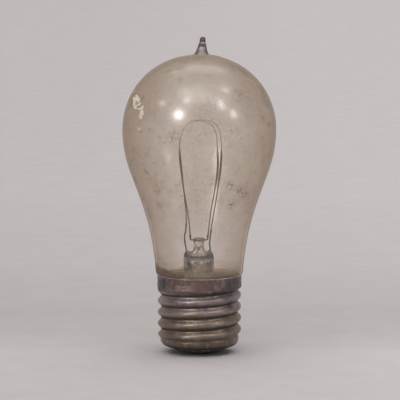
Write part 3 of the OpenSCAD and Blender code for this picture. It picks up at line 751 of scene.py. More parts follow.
def studio_paper(settings):
    """Seamless pale grey studio paper: matt and faintly mottled, with a soft band of painted shade
    a hand's breadth behind the object, and painted light that makes it slightly lighter
    towards the right."""
    paper, add, place = new_material("seamless_studio_paper")
    axes = add("SeparateXYZ", {0: place})
    # painted shade: a soft darker band behind the object
    band = add("ValToRGB", {0: add("MapRange", {0: axes.outputs["Y"], 1: -0.1, 2: 0.4})})
    stops = band.color_ramp.elements
    band.color_ramp.interpolation = "EASE"
    stops[0].color = stops[1].color = (*settings.paper, 1)
    for at, text in ((0.2, "#c5c1c1"), (0.226, "#c0bbbb"), (0.29, "#b8b3b2"), (0.37, "#b5afaf"),
                     (0.42, "#b8b2b2"), (0.66, "#beb8b8"), (0.9, "#c0baba")):
        stops.new(at).color = (*linear(text), 1)
    # painted light: lighter towards the right
    side = add("MapRange", {0: axes.outputs["X"], 1: -0.07, 2: 0.07})
    side = add("Mix", {0: side, 6: "#f7f7f7", 7: "#ffffff"})
    mottle = add("Mix", {0: clouds(add, place, 12, 0.3, 0.7), 6: "#ffffff", 7: "#fafafa"})
    tone = add("Mix", {0: 1.0, 6: band, 7: side}, blend_type="MULTIPLY")
    tone = add("Mix", {0: 1.0, 6: tone, 7: mottle}, blend_type="MULTIPLY")
    skin = add("BsdfPrincipled", {
        "Base Color": tone, "Roughness": 0.95, "Specular IOR Level": 0.1,
        # paper tooth, drawn coarser than its real tenth of a millimetre
        "Normal": add("Bump", {"Height": clouds(add, place, 0.6), "Distance": 0.02 * MM}),
    })
    add("OutputMaterial", {"Surface": skin})
    return paper


def room(world, settings):
    """The room as the lamp's metal and glass mirror it: pale walls at eye level and behind, a
    white ceiling, and dimness between them at the front and the sides."""
    world.use_nodes = True
    world.node_tree.nodes.clear()
    own_add = functools.partial(add, world.node_tree)
    axes = own_add("SeparateXYZ", {0: own_add("TexCoord").outputs["Generated"]})
    front, above, below, ceiling = (
        own_add("MapRange", {0: axes.outputs[axis], 1: low, 2: high}, interpolation_type="SMOOTHSTEP")
        for axis, low, high in (("Y", 0.6, 0.2), ("Z", 0.12, 0.24), ("Z", 0.85, 0.6), ("Z", 0.5, 0.9)))
    dim = own_add("Math", {0: above, 1: below})
    dim = own_add("Math", {0: dim, 1: front})
    tone = own_add("Mix", {0: ceiling, 6: (*settings.paper, 1), 7: "#ffffff"})
    tone = own_add("Mix", {0: dim, 6: tone, 7: "#3c3938"})
    light = own_add("Background", {"Color": tone, "Strength": settings.room})
    own_add("OutputWorld", {"Surface": light})


# ---- Outlines ----


def bulb_outline(s):
    """The outer outline of the bulb as (radius, height), from its crown down to the hidden neck
    end: a crown curve, a side curve, a rounded tuck under the overhang, a bend and a straight
    end of radius NECK_END_R."""
    rim_z, collar_d = SHELL_HIGH[2], SHELL_HIGH[0] - SHELL_LOW[0]
    r, crown_z = s["glass_d"] / 2, s["widest_z"] + s["crown_h"]
    neck = np.array([collar_d / 2 + s["neck_overhang"], rim_z + s["neck_lift"]])
    slope = np.array([math.sin(s["neck_slope"]), math.cos(s["neck_slope"])])
    tuck_r, tuck_degrees, curve_points = 0.75, 70, 160
    tuck = math.radians(tuck_degrees)
    centre = neck - tuck_r * np.array([slope[1], -slope[0]])
    under = np.array([math.cos(tuck), -math.sin(tuck)])
    along = np.array([-math.sin(tuck), -math.cos(tuck)])
    tuck_end = centre + tuck_r * under
    run = (tuck_end[0] - NECK_END_R - tuck_r * (1 - math.cos(tuck))) / math.sin(tuck)
    bend = tuck_end + run * along + tuck_r * under
    full = s["crown_fullness"]
    crown = cubic([0, crown_z], [r * full, crown_z], [r, s["widest_z"] + s["crown_h"] * full],
                  [r, s["widest_z"]], curve_points)
    side = cubic([r, s["widest_z"]], [r, s["widest_z"] - s["side_reach"]],
                 neck + s["neck_reach"] * slope, neck, curve_points)
    return np.concatenate([
        crown, side[1:], arc(centre, tuck_r, -math.degrees(s["neck_slope"]), -tuck_degrees, 10)[1:],
        arc(bend, tuck_r, 180 - tuck_degrees, 180, 8), [[NECK_END_R, GLASS_LOW[2]]],
    ])


def thread_radius(s, angle, z):
    """The cap's outer radius at an angle and height, and how deep in a groove that is from 0 to 1.
    The plain radius runs from band to collar, and the thread adds depth * (1/2 - hollow^k), where
    hollow goes from 0 on a crest to 1 half a pitch away along a right-hand helix, and k over 1
    makes the crests broader than the grooves."""
    above_thread, below_thread, k = 1.3, 1.7, 1.35
    crest_r = s["thread_d"] / 2
    mean = crest_r - s["thread_depth"] / 2
    collar_z = SHELL_HIGH[2] - s["collar_h"]
    top = smooth_step(collar_z - above_thread, collar_z, z)
    foot = smooth_step(s["band_z"], s["band_z"] + below_thread, z)
    plain = mean + (s["collar_d"] / 2 - mean) * top + (s["band_d"] / 2 - mean) * (1 - foot)
    share = foot * (1 - top)
    hollow = (1 - np.cos(FULL_TURN * (z - s["crest_z"]) / s["thread_pitch"] - angle)) / 2
    return plain + s["thread_depth"] * share * (0.5 - hollow ** k), hollow * share


# ---- Routes of the wires, in millimetres from the middle of the stem's shoulder ----

BAR_Z = 3.8
JOINTS = {
    "lead_left": ([-4, 0, 8.6], [0.15, 0, 2.4]),
    "lead_right": ([3.85, 0, 6.6], [0.24, 0, 2]),
    "bar_left": ([-2.7, 0, BAR_Z + 1.15], [-0.07, 0, 1.15]),
    "bar_right": ([2.85, 0, BAR_Z + 1.15], [0.14, 0, 1.15]),
}
JOINTS = {name: (np.array(at, float), np.array(rise, float)) for name, (at, rise) in JOINTS.items()}


def past(name, share):
    """A point that lies on from a joint by a share of its rise."""
    at, rise = JOINTS[name]
    return list(at + share * rise)


ROUTES = {
    "filament_front": [
        past("lead_left", 0), past("lead_left", 1),
        [-4.4, -0.7, 16.7], [-5.55, -1.1, 26.5], [-6.3, -1.1, 33.6], [-5.4, -1.1, 38.2], [-3.5, -1.1, 41.2],
        [0.3, -1.1, 42], [3.9, -1.1, 41], [5.6, -1.1, 38], [5.85, -1.1, 33], [6.15, -1.1, 26.6],
        [5.2, -1, 20.5], [3.7, -0.6, 12.5], past("bar_right", 2.3), past("bar_right", 0),
    ],
    "filament_rear": [
        past("bar_left", 0), past("bar_left", 2.3),
        [-3.4, 0.6, 12.2], [-4.6, 1, 18.5], [-5.6, 1.1, 26.5], [-6.2, 1.1, 33.6], [-5.3, 1.1, 38.2],
        [-3.4, 1.1, 41.2], [0.8, 1.1, 42], [4.6, 1.1, 41.4], [6.6, 1.1, 38.9], [7.2, 1.1, 34],
        [7.15, 1.1, 28.6], [6.2, 1, 21], [4.9, 0.6, 13], past("lead_right", 1), past("lead_right", 0),
    ],
    "inner_lead_left": [
        [-4, 0, 0.25], [-4, 0, 1], [-4.35, 0, 3], [-4.6, 0, 5.2],
        past("lead_left", -1), past("lead_left", 0),
    ],
    "inner_lead_right": [
        [3.6, 0, 0.25], [3.6, 0, 1], [3.4, 0, 2.8], past("lead_right", -1), past("lead_right", 0),
    ],
    "support_bar": [
        past("bar_left", 0), past("bar_left", -1), [-1.93, 0, BAR_Z],
        [2.01, 0, BAR_Z], past("bar_right", -1), past("bar_right", 0),
    ],
}


def route_on_mount(name, mount, step=0.2):
    """A named route on the stem, with its corners rounded and its points a step apart."""
    return rounded_route(np.array(ROUTES[name]) + [mount["stem_x"], 0, mount["stem_z"]], step)


# ---- Operators ----


# Where the bulb is scuffed, bloomed and dulled, and where a painted glow lies round its
# highlights, as (x, y, z, radius) in millimetres
SCUFFS = (
    (19.6, -5.7, 83.8, 2.6), (20.5, -7.7, 81.2, 3.2), (21.1, -7.6, 79.6, 2.6), (20, -2.9, 84.6, 3),
    (19.5, -13.5, 75.8, 2.6), (21.7, -10.4, 73.2, 2.8), (12.8, 0, 92.1, 3), (10.2, -6.6, 91.5, 2.8),
    (14, -5.9, 89.5, 3.4), (17, -4, 87.2, 3), (9.5, -18.9, 55.5, 2.8), (12.6, -16, 53.6, 3.6),
    (14.2, -13.6, 51.7, 3.4), (10.2, -15.6, 48.8, 3), (-20.2, -6.1, 55.5, 3), (-12.3, -13.9, 48.6, 2.4),
    (-15.5, -7.5, 44.6, 3.2), (-10.8, -10.9, 37.2, 1.8), (-16.6, -17, 65, 1.8), (-16.6, -14.9, 59.1, 2),
    (-15.3, -18.7, 72.6, 1.4), (-4.5, -8, 92.8, 2.6), (-6, -11, 91.2, 2.6), (-9.5, -10, 90, 2.4),
    (-6, -15.9, 87.9, 1.8), (-18.4, -13, 79.7, 1.7), (-17.2, -15.7, 77.6, 1.1), (-17.9, -12.1, 81.8, 1.8),
    (-8, 22, 66, 4), (12, 18, 80, 4), (5, 20, 52, 3.6), (-14, 14, 50, 3.6), (20, 10, 60, 3.2),
    (-21, 8, 78, 3.2), (2, 14, 89, 3.2), (-23, -3, 66, 2.6), (23, -3, 62, 2.6),
)
BLOOM = ((-10.8, -10.9, 37.2, 4.4), (-8.6, -13.2, 39.6, 4), (-8.8, -12, 33.6, 3.6), (9.8, -10.8, 33, 4.2),
         (10.6, -9.8, 29, 3.6), (10.4, -12, 38, 4), (1, -16, 45, 6), (-2, 15, 45, 6), (6, 13, 36, 5),
         (-10, 10, 34, 5), (10, 10, 31, 4))
DULLED = ((-11, 15, 56, 8), (-9, 16, 49, 8), (-7, 14, 42, 7))
HIGHLIGHT_GLOW = ((-7, -21, 77, 12), (6, -21, 78, 12), (-14, -18, 64, 7), (15, -17, 68, 7), (0, 22, 74, 12),
        (-18, 12, 60, 8), (19, 12, 66, 8), (1, -19.5, 57, 9))


class LAMP_OT_glass_bulb(bpy.types.Operator):
    """Blows the bulb: one glass wall with two faces, drawn out into the leaning exhaust tip"""

    bl_idname = "lamp.glass_bulb"
    bl_label = "Glass Bulb"

    def execute(self, context):
        settings = context.scene.lamp_bulb
        s = sizes(settings)
        line = bulb_outline(s)
        crown_z = s["widest_z"] + s["crown_h"]
        top = GLASS_HIGH[2] - crown_z

        # the tip outside and its draught hole inside, as (radius, height above the crown)
        tip = [[0.05, top], [0.4, top - 0.06], [0.72, top - 0.3], [0.9, top - 0.72], [0.93, top - 1.15],
               [0.9, 4.0], [1.02, 3.65], [1.19, 3.1], [1.28, 2.75], [1.42, 2.3], [1.6, 1.6], [1.84, 0.95],
               [2.1, 0.42], [2.45, 0.08], [2.95, -0.12], [3.6, -0.24]]
        hole = [[2.5, -0.9], [1.9, -0.66], [1.5, -0.1], [1.24, 0.7], [1.02, 1.5], [0.84, 2.3], [0.52, 2.9],
                [0.62, 3.3], [0.42, 3.75], [0.05, 3.85]]
        wall = line[(line[:, 0] > 4.4) | (line[:, 1] < s["widest_z"])]
        inner = inset(wall, s["wall"])
        inner[-1, 1] = wall[-1, 1]
        tip, hole = (np.array(part) + [0, crown_z] for part in (tip, hole))
        step, columns = 0.45, 168
        outer = np.concatenate([through(np.concatenate([tip, wall[:1]]), 0.09)[:-1], even(wall, step)])
        inner = np.concatenate([even(inner[::-1], step), through(hole, 0.1)])
        outline = np.concatenate([outer, inner])
        outside = (np.arange(len(outline)) < len(outer))[:, None]

        rings = spun(outline, columns)
        z = outline[:, 1:2]
        angle = ring_angles(columns)
        blown = smooth_step(28, 45, z) * smooth_step(crown_z, crown_z - 9, z)
        rings[:, :, :2] *= (1 + 0.0016 * blown * ripple(angle, z * 0.13, 5))[:, :, None]
        near = smooth_step(9.0, 3.0, outline[:, 0]) * (z[:, 0] > s["widest_z"])
        rise = np.maximum(z[:, 0] - crown_z, 0)
        rings[:, :, 0] += (near * s["tip_x"] + math.tan(s["tip_lean"]) * rise)[:, None]
        # a ring darkening the glass towards the cap's rim: dirt, and painted shade
        neck_dirt_and_shade = smooth_step(29.5, 25.6, z) * np.clip(0.2 + 0.3 * ripple(angle, z * 0.4, 17), 0.05, 0.5)
        x, y = rings[:, :, 0], rings[:, :, 1]
        # the ring of dirt and painted shade over the cap stands higher on the left, and the neck over
        # it is wiped half clean
        dark_ring_z = (24.8 + 3.3 * smooth_step(-5, -12, x) * smooth_step(9, 3, y)
                  + 0.4 * ripple(angle, z * 0.1, 23))
        soot_and_shade = 0.85 * smooth_step(dark_ring_z + 0.7, dark_ring_z - 0.6, z)
        wiped = 0.75 * smooth_step(dark_ring_z + 1, dark_ring_z + 6, z) * smooth_step(49, 36, z)
        ob = piece("bulb_glass", rings, smoked_glass(settings), ["glass_envelope"], marks={
            "wear": outside * spots(rings, SCUFFS),
            "grime": outside * np.maximum(neck_dirt_and_shade, soot_and_shade),
            # frost: the bloom, and the painted glow round the highlights
            "frost": outside * np.maximum(0.7 * spots(rings, BLOOM), 0.6 * spots(rings, HIGHLIGHT_GLOW)),
            "dulled": spots(rings, DULLED), "wiped": wiped, "outside": outside,
        })
        ob.data.materials.append(flame_drawn_glass())
        centre = np.zeros(len(ob.data.polygons) * 3)
        ob.data.polygons.foreach_get("center", centre)
        is_tip = centre.reshape(-1, 3)[:, 2] > (crown_z + 0.1) * MM
        ob.data.polygons.foreach_set("material_index", is_tip.astype(np.int32))
        return {"FINISHED"}


# Where painted glints stand for the light that the stem's waves catch, and where its cords and
# the edges that its glass bends into view are dark, with painted shade, as (x, y, height over
# the shoulder, radius) in millimetres
PAINTED_GLINTS = ((-1, -1.6, 0.9, 1.1), (0.95, -1.6, 0.9, 1.1), (-1.3, -1.8, 0.3, 1.1), (0.4, -2, 0.3, 1.2),
          (-0.7, -1.4, 3, 0.9), (0.8, -1.3, 2.6, 0.9), (0, -1.5, 2.2, 1.0), (-1.9, -4.4, -2.7, 1.0),
          (0.8, -4.8, -2.9, 1.0), (-4.4, -2, -2, 0.8), (1, 1.8, 0.7, 1), (2.4, 4.1, -3.2, 1.5),
          (-3, 3.7, -4.2, 1.4), (4.4, 1.5, -3, 1.2), (-4.4, 1.8, -4, 1.2))
CORDS_AND_SHADE = ((-0.1, -1.6, 0.9, 0.5), (-0.1, -1.5, 1.5, 0.5), (-1.6, -0.4, 1.3, 0.7), (-1.6, -0.4, 2.1, 0.7),
           (1.6, -0.4, 1.3, 0.7), (1.6, -0.4, 2.1, 0.7), (-1.7, -0.4, 2.9, 0.6), (1.7, -0.4, 2.9, 0.6),
           (-3.2, -3.5, -2.4, 1.3), (-3.0, -3.7, -3.6, 1.4), (-2.6, -4, -4.8, 1.2), (-3.9, -2.7, -5.4, 1.2),
           (3.7, -3.1, -2.6, 0.8), (3.7, -3.1, -3.6, 0.8), (3.7, -3, -4.6, 0.8), (3.7, -3, -5.6, 0.8),
           (3.2, -2.8, -0.7, 1.5), (-3.2, -2.8, -0.6, 1.4), (-2.4, -2, -0.1, 1.0), (4.2, -1, -0.8, 1.4),
           (-4.3, -1, -0.8, 1.4), (-2.6, 4, -3, 1.2), (3.2, 3.6, -2.6, 1.2), (0, 4.8, -4.4, 1.3),
           (0, 1.4, 1.4, 0.7))


class LAMP_OT_glass_stem(bpy.types.Operator):
    """Works the glass mount: the flared tube, its sealed head and the waisted post"""

    bl_idname = "lamp.glass_stem"
    bl_label = "Glass Stem"

    def execute(self, context):
        m = sizes(context.scene.lamp_mount)
        b = sizes(context.scene.lamp_bulb)
        seal_r, seal_z, head = NECK_END_R, GLASS_LOW[2], m["stem_z"]
        r, wall, flare_h, columns = m["stem_d"] / 2, m["stem_wall"], 7.0, 96
        seat_r = seal_r - b["wall"] - abs(m["stem_x"])
        post = through([[0.05, m["post_h"] + 0.12], [0.9, m["post_h"] + 0.1], [1.5, m["post_h"] + 0.02],
                        [1.94, m["post_h"] - 0.25], [1.86, m["post_h"] - 0.75], [1.62, 2.8], [1.52, 2],
                        [1.56, 1.3], [1.76, 0.7], [2.1, 0.25], [2.5, 0.0]], 0.12) + [0, head]
        shoulder = arc([r - 2.0, head - 2.2], 2.0, 76, 2, 16)
        flare = cubic([r, seal_z + flare_h], [r, seal_z + flare_h * 0.45],
                      [seat_r - flare_h * 0.35, seal_z], [seat_r, seal_z], 30)
        under = inset(flare, wall)[::-1]
        inside_top = head - m["head_h"]
        outline = np.concatenate([
            post, shoulder, even([[r, head - 2.2], [r, seal_z + flare_h]], 0.3)[1:-1], flare,
            [[seal_r - 0.2, seal_z], [seal_r - 0.2, seal_z - wall]], under,
            even([[r - wall, seal_z + flare_h], [r - wall, inside_top + 0.4]], 0.3)[1:],
            [[r - wall - 0.3, inside_top + 0.08], [r - wall - 0.8, inside_top], [0.05, inside_top]],
        ])
        rings = spun(outline, columns)
        angle = ring_angles(columns)
        z = outline[:, 1:2]
        worked = smooth_step(head - 5, head - 1, z) * 0.02 + 0.006
        rings[:, :, :2] *= (1 + worked * ripple(angle, z * 0.9, 11))[:, :, None]
        # the shoulder is uneven, and the glass is drawn up round each lead
        off_post = smooth_step(1.8, 3.0, outline[:, 0:1])
        top = off_post * smooth_step(head - 1.3, head - 0.6, z)
        rings[:, :, 2] += 0.22 * top * ripple(angle * 2, outline[:, 0:1], 3)
        lead_lift, lead_reach = 0.8, 0.9
        drawn_up = off_post * smooth_step(head - 2.4, head - 1.2, z)
        for lead_x in LEADS_X:
            away = (rings[:, :, 0] - lead_x) ** 2 + rings[:, :, 1] ** 2
            rings[:, :, 2] += lead_lift * drawn_up * np.exp(-away / lead_reach ** 2)
        rings[:, :, 0] += m["stem_x"]
        # a painted dark band of shade under the rounded shoulder, on the outside only
        shade_z, shade_reach = head - 1.2, 0.65
        painted_dark = np.exp(-((z - shade_z) / shade_reach) ** 2) * (outline[:, 0:1] > r - wall - 0.1)
        shift = np.array([m["stem_x"], 0, head, 0])
        piece("stem_glass", rings, lamp_worked_glass(), ["glass_stem"], marks={
            "glint": spots(rings, PAINTED_GLINTS + shift),
            "streak": np.maximum(0.85 * painted_dark, spots(rings, CORDS_AND_SHADE + shift)), "pinch": painted_dark})
        return {"FINISHED"}


class LAMP_OT_filament(bpy.types.Operator):
    """Hangs the two carbon hairpins, thickened where they burned unevenly, on their paste"""

    bl_idname = "lamp.filament"
    bl_label = "Filament and Paste"

    def execute(self, context):
        settings = context.scene.lamp_mount
        m = sizes(settings)
        material = treated_carbon(settings)
        # drawn thicker than the CAD's wire where it burned black, and a little slimmer at the top
        for seed, name in enumerate(("filament_front", "filament_rear")):
            path = route_on_mount(name, m)
            z = path[:, 2]
            burnt = smooth_step(51, 57, z) * smooth_step(65, 63, z)
            waver = np.sin(z * 1.7 + seed) + np.sin(z * 3.9 + 2 * seed)
            share = 1.14 + 0.95 * burnt - 0.2 * smooth_step(62, 70, z) + 0.06 * waver
            radius = m["filament_d"] / 2 * share
            piece("carbon_" + name, carried(path, radius, 12), material, [name])
        # each dab is drawn slimmer than the CAD's, three quarters as wide
        paste, sides = carbon_paste(), 20
        for seed, (name, (at, rise)) in enumerate(JOINTS.items()):
            along = np.linspace(-0.56, 0.56, 26)
            middle = at + [m["stem_x"], 0, m["stem_z"]]
            path = middle + along[:, None] * rise / np.linalg.norm(rise)
            swell = np.sqrt(np.clip(1 - (along / 0.6) ** 2, 0.05, 1))
            radius = m["paste_d"] / 2 * (0.35 + 0.4 * swell)
            rings = carried(path, radius, sides)
            run = np.linspace(0, 9, len(rings))[:, None]
            lumps = 1 + 0.12 * ripple(ring_angles(sides), run, 20 + seed)
            centre = rings.mean(1, keepdims=True)
            rings = centre + (rings - centre) * lumps[:, :, None]
            piece("paste_dab_" + name, rings, paste, ["paste_" + name])
        return {"FINISHED"}


class LAMP_OT_leads(bpy.types.Operator):
    """Bends the support bar and the leads, seals the wires in the head and runs the copper to
    the rim and to the contact"""

    bl_idname = "lamp.leads"
    bl_label = "Leads and Support Bar"

    def execute(self, context):
        m = sizes(context.scene.lamp_mount)
        c = sizes(context.scene.lamp_cap)
        nickel = drawn_wire("drawn_nickel_oxidised", "#6a6057", "#352d28", 0.34)
        for name in ("support_bar", "inner_lead_left", "inner_lead_right"):
            path = route_on_mount(name, m, 0.12)
            piece("wire_" + name, carried(path, m["wire_d"] / 2, 14), nickel, [name])
        platinum = drawn_wire("drawn_platinum", "#b9b5ae", "#87827a", 0.25)
        for name in ("seal_wire_left", "seal_wire_right"):
            low, high = (np.array(corner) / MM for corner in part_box(name))
            x = (low[0] + high[0]) / 2
            path = even([[x, 0, high[2]], [x, 0, low[2]]], 0.3)
            rings = carried(path, m["seal_wire_d"] / 2, 12)
            piece("platinum_" + name, rings, platinum, [name])
        copper = drawn_wire("drawn_copper_browned", "#a06a4a", "#5f3d2c", 0.34)
        seal_z, notch_z = c["seal_z"], SHELL_HIGH[2] - 0.9 + m["seal_wire_d"] / 2 + 0.1
        below = m["stem_z"] - m["head_h"] - 0.4
        (left, right), out = (m["stem_x"] + x for x in LEADS_X), 11.3
        side = [[left, 0, below], [left, 0, seal_z + 7], [left, 1, seal_z + 1], [-3, 5, seal_z - 3],
                [0, out, seal_z - 3], [0, out, seal_z + 2], [0, out, notch_z],
                [0, c["collar_d"] / 2 + 0.4, notch_z]]
        centre = [[right, 0, below], [right, 0, seal_z + 7], [2.4, 0, seal_z],
                  [0, 0, INSULATOR_HIGH[2] + 3], [0, 0, CONTACT_HIGH[2] / 2]]
        for name, route, across in (("side_lead", side, (1, 0.35, 0.1)),
                                    ("centre_lead", centre, (0, 1, 0))):
            rings = carried(rounded_route(route, 0.25), m["seal_wire_d"] / 2, 12, across)
            piece("copper_" + name, rings, copper, [name])
        return {"FINISHED"}


# Where the cap is rusty red, where it is green-black with stains and painted shade on the
# collar's sides, and where it is scratched, as (x, y, z, radius) in millimetres
RUST = ((-1.2, -13.3, 22.2, 3.2), (1.4, -13.3, 21.6, 3), (2.2, -13.2, 20.2, 2.2), (-3, -13, 20.4, 2),
        (9, 10, 22, 3.6), (-11, 8, 21.4, 3))
STAIN_AND_SIDE_SHADE = ((4.8, -12.4, 19.6, 2.8), (7.8, -10.8, 19.9, 3), (10.4, -8.4, 20.6, 3.2),
             (12.2, -5.4, 21.6, 3), (11.6, -6.4, 23.2, 3.4), (9.6, -9.2, 22.8, 2.6),
             (-11.4, -7, 22.8, 3), (-12.6, -4, 21.4, 3.2), (12.9, -2.6, 20.6, 3),
             (-6, 11.8, 20, 3.4), (9.8, -8.2, 16.4, 2.4))
SCRATCHED = ((-5.8, -12, 22.2, 2), (-4.2, -12.6, 19.8, 1.8), (3.4, -12.9, 20.4, 1.3),
             (-8.8, -10.1, 21.2, 1.2), (9.6, -9.3, 20.9, 1.2), (3, 13, 21.5, 2), (-12.9, 3, 22.3, 1.6))
# Dents in the sheet, as angle (radians), height (mm), width (radians) and depth (mm)
DENTS = ((-1.9, 22.6, 0.16, 0.16), (-1.15, 20.9, 0.12, 0.12), (-0.6, 13.1, 0.14, 0.14),
         (-2.3, 9.3, 0.12, 0.1), (0.9, 17.0, 0.2, 0.2))


class LAMP_OT_screw_shell(bpy.types.Operator):
    """Rolls the brass cap: collar, thread, band and turned-in foot from one dented sheet"""

    bl_idname = "lamp.screw_shell"
    bl_label = "Screw Shell"

    def execute(self, context):
        settings = context.scene.lamp_cap
        s = sizes(settings)
        columns, rim_z = 240, SHELL_HIGH[2]
        angle = ring_angles(columns)
        foot_r, foot_z = s["band_d"] / 2 - s["foot_bend_r"], s["band_z"] - s["foot_bend_r"]

        # the sheet's section as height, radius where it isn't threaded, and outward direction
        edge = np.radians([90, 60, 30])
        wall_z = np.concatenate([rim_z - 0.1 * (1 - np.sin(edge)),
                                 np.linspace(rim_z - 0.12, s["band_z"], 236)])
        turn = np.radians(np.linspace(0, -90, 16))[1:]
        turned_r = foot_r + s["foot_bend_r"] * np.cos(turn)
        turned_z = s["band_z"] + s["foot_bend_r"] * np.sin(turn)
        z = np.concatenate([wall_z, turned_z, [foot_z, foot_z + 0.05]])[:, None]
        radius, groove = thread_radius(s, angle, z)
        radius[len(wall_z):] = np.concatenate([turned_r, [foot_r - 0.5, foot_r - 0.6]])[:, None]
        out_r = np.concatenate([np.ones(len(wall_z)), np.cos(turn), [0, -0.6]])[:, None]
        out_z = np.concatenate([np.zeros(len(wall_z)), np.sin(turn), [-1, -0.6]])[:, None]
        edge_drop = np.zeros_like(z)
        edge_drop[:3, 0] = 0.09, 0.05, 0.015
        dents = 0.05 * ripple(angle, z * 0.45, 31) * smooth_step(foot_z, s["band_z"] + 1, z)
        collar = smooth_step(rim_z - 3.6, rim_z - 2.6, z)
        dents = dents + 0.035 * collar * ripple(angle * 3, z * 1.7, 8, 9) - 0.02
        for start, height, wide, deep in DENTS:
            off = (turned_from(angle, start) / wide) ** 2 + ((z - height) / (wide * 9)) ** 2
            dents = dents - deep * np.exp(-off)
        # the notch at the back of the rim that lets the side wire out
        from_back = np.abs(turned_from(angle, math.pi / 2))
        notch_depth = 0.9
        notch = smooth_step(math.radians(7.5), math.radians(5.5), from_back)
        notch = notch * smooth_step(rim_z - 1.4, rim_z, z) * notch_depth
        outer_r = radius + dents * out_r - edge_drop
        inner_r = radius - s["wall"] * out_r + dents * out_r + edge_drop
        outer_z, inner_z = z - notch, z - s["wall"] * out_z - notch

        def ring_points(r, height):
            """Points round the axis from radii and heights, by row and angle."""
            return np.stack([r * np.cos(angle), r * np.sin(angle), height + 0 * angle], 2)

        # inside, every second row of the wall is left out, between the edge and the turned-in foot
        bent_from = len(z) - 18
        keep = np.concatenate([np.arange(3), np.arange(3, bent_from, 2), np.arange(bent_from, len(z))])
        outside = ring_points(outer_r, outer_z)
        rings = np.concatenate([outside, ring_points(inner_r, inner_z)[keep][::-1]])
        # dark in the grooves with dirt, moved down onto each crest's lower flank as painted shade; painted
        # shade under the collar's edge, and a painted shadow round the turned-in foot
        under_collar = np.exp(-((z - (rim_z - s["collar_h"] - 0.75)) / 0.4) ** 2)
        _, shaded = thread_radius(s, angle, z - 0.4)
        dirt = np.maximum(0.8 * smooth_step(0.78, 1.0, shaded), 0.6 * under_collar)
        dirt = np.maximum(dirt, 0.88 * smooth_step(3.7, 2.5, z))
        threaded = smooth_step(s["band_z"] + 0.6, s["band_z"] + 2, z) * smooth_step(21.0, 20.0, z)
        # the crests rubbed pale, with painted highlight, and a painted highlight along the rim's top edge
        crest = smooth_step(0.22, 0.02, groove) * threaded
        crest = crest + smooth_step(rim_z - 0.25, rim_z - 0.05, z) * 0.6

        def both(values):
            """The same mark on the outside and the inside of the sheet."""
            values = np.broadcast_to(values, groove.shape)
            return np.concatenate([values, values[keep][::-1]])

        piece("brass_shell", rings, tarnished_brass(settings), ["screw_shell"],
              closed_loop=True, marks={
                  "dirt": both(dirt), "crest": both(crest), "rust": both(spots(outside, RUST)),
                  "verdigris": both(spots(outside, STAIN_AND_SIDE_SHADE)),
                  "scratched": both(spots(outside, SCRATCHED)),
              })
        return {"FINISHED"}


class LAMP_OT_cap_filling(bpy.types.Operator):
    """Fills the cap: plaster round the neck with its lip at the rim, and the black insulator"""

    bl_idname = "lamp.cap_filling"
    bl_label = "Plaster and Insulator"

    def execute(self, context):
        s = sizes(context.scene.lamp_cap)
        rim_z, seal_r, columns = SHELL_HIGH[2], NECK_END_R, 160
        sheet_gap, neck_gap, contact_gap = 0.08, 0.06, 0.06
        collar_z, collar_in = rim_z - s["collar_h"], s["collar_d"] / 2 - s["wall"] - sheet_gap
        groove_in = s["thread_d"] / 2 - s["thread_depth"] - s["wall"] - sheet_gap
        lip = s["collar_d"] / 2
        loop = even([
            [lip - 0.5, rim_z + 0.1], [lip - 0.3, rim_z + 0.22], [lip - 0.1, rim_z + 0.23],
            [lip + 0.02, rim_z + 0.19], [lip + 0.06, rim_z + 0.1], [lip, rim_z + 0.03],
            [collar_in, rim_z + 0.02], [collar_in, collar_z + 0.5],
            [groove_in, collar_z + 0.1], [groove_in, s["seal_z"] + 0.6],
            [seal_r + neck_gap, s["seal_z"] + 0.6],
            [seal_r + neck_gap, rim_z - 1.2], [lip - 1.6, rim_z - 0.6], [lip - 0.75, rim_z - 0.15],
        ], 0.22)
        rings = spun(loop, columns)
        angle = ring_angles(columns)
        showing = smooth_step(rim_z - 0.1, rim_z + 0.1, loop[:, 1:2])
        crumbs = ripple(angle * 5, loop[:, 1:2] * 6, 41) + 0.6 * ripple(angle * 11, loop[:, 1:2] * 9, 42)
        rings[:, :, :2] *= (1 - 0.004 * showing * np.clip(crumbs, 0, 2))[:, :, None]
        rings[:, :, 2] += 0.05 * showing * crumbs
        piece("plaster_ring", rings, aged_plaster(), ["basing_cement"], closed_loop=True)

        foot_r, foot_z = s["band_d"] / 2 - s["foot_bend_r"], s["band_z"] - s["foot_bend_r"]
        lip_r, contact_r = foot_r - 0.6, (CONTACT_HIGH[0] - CONTACT_LOW[0]) / 2
        under_z = CONTACT_HIGH[2] + contact_gap
        seat, top, inside = foot_z + s["wall"] + 0.06, INSULATOR_HIGH[2], groove_in
        corner = inside - foot_r
        loop = np.concatenate([
            even([[1.0, top], [inside - 0.4, top]], 0.5), [[inside - 0.1, top - 0.1], [inside, top - 0.4]],
            even([[inside, top - 0.6], [inside, seat + corner + 0.2]], 0.4),
            arc([foot_r, seat + corner], corner, 0, -88, 14),
            [[lip_r - 0.08, seat], [lip_r - 0.08, foot_z + 0.15], [lip_r - 0.14, foot_z - 0.05]],
            cubic([lip_r - 0.3, foot_z - 0.2], [lip_r - 1.2, 0.9], [contact_r + 1.6, 0.35],
                  [contact_r + 0.16, 0.36], 26),
            [[contact_r + 0.08, 0.42], [contact_r + 0.06, under_z]],
            even([[contact_r - 0.1, under_z], [1.1, under_z]], 0.5),
            even([[0.9, CONTACT_HIGH[2] + 0.3], [0.9, top - 0.2]], 0.5),
        ])
        rings = spun(loop, columns)
        moulded = (smooth_step(foot_z + 0.2, foot_z - 0.4, loop[:, 1:2])
                   * smooth_step(contact_r, contact_r + 1.0, loop[:, 0:1]))
        rings[:, :, 2] += 0.05 * moulded * ripple(angle * 2, loop[:, 0:1] * 1.3, 51)
        piece("black_glass_base", rings, black_vitrified_insulator(),
              ["base_insulator"], closed_loop=True)
        return {"FINISHED"}


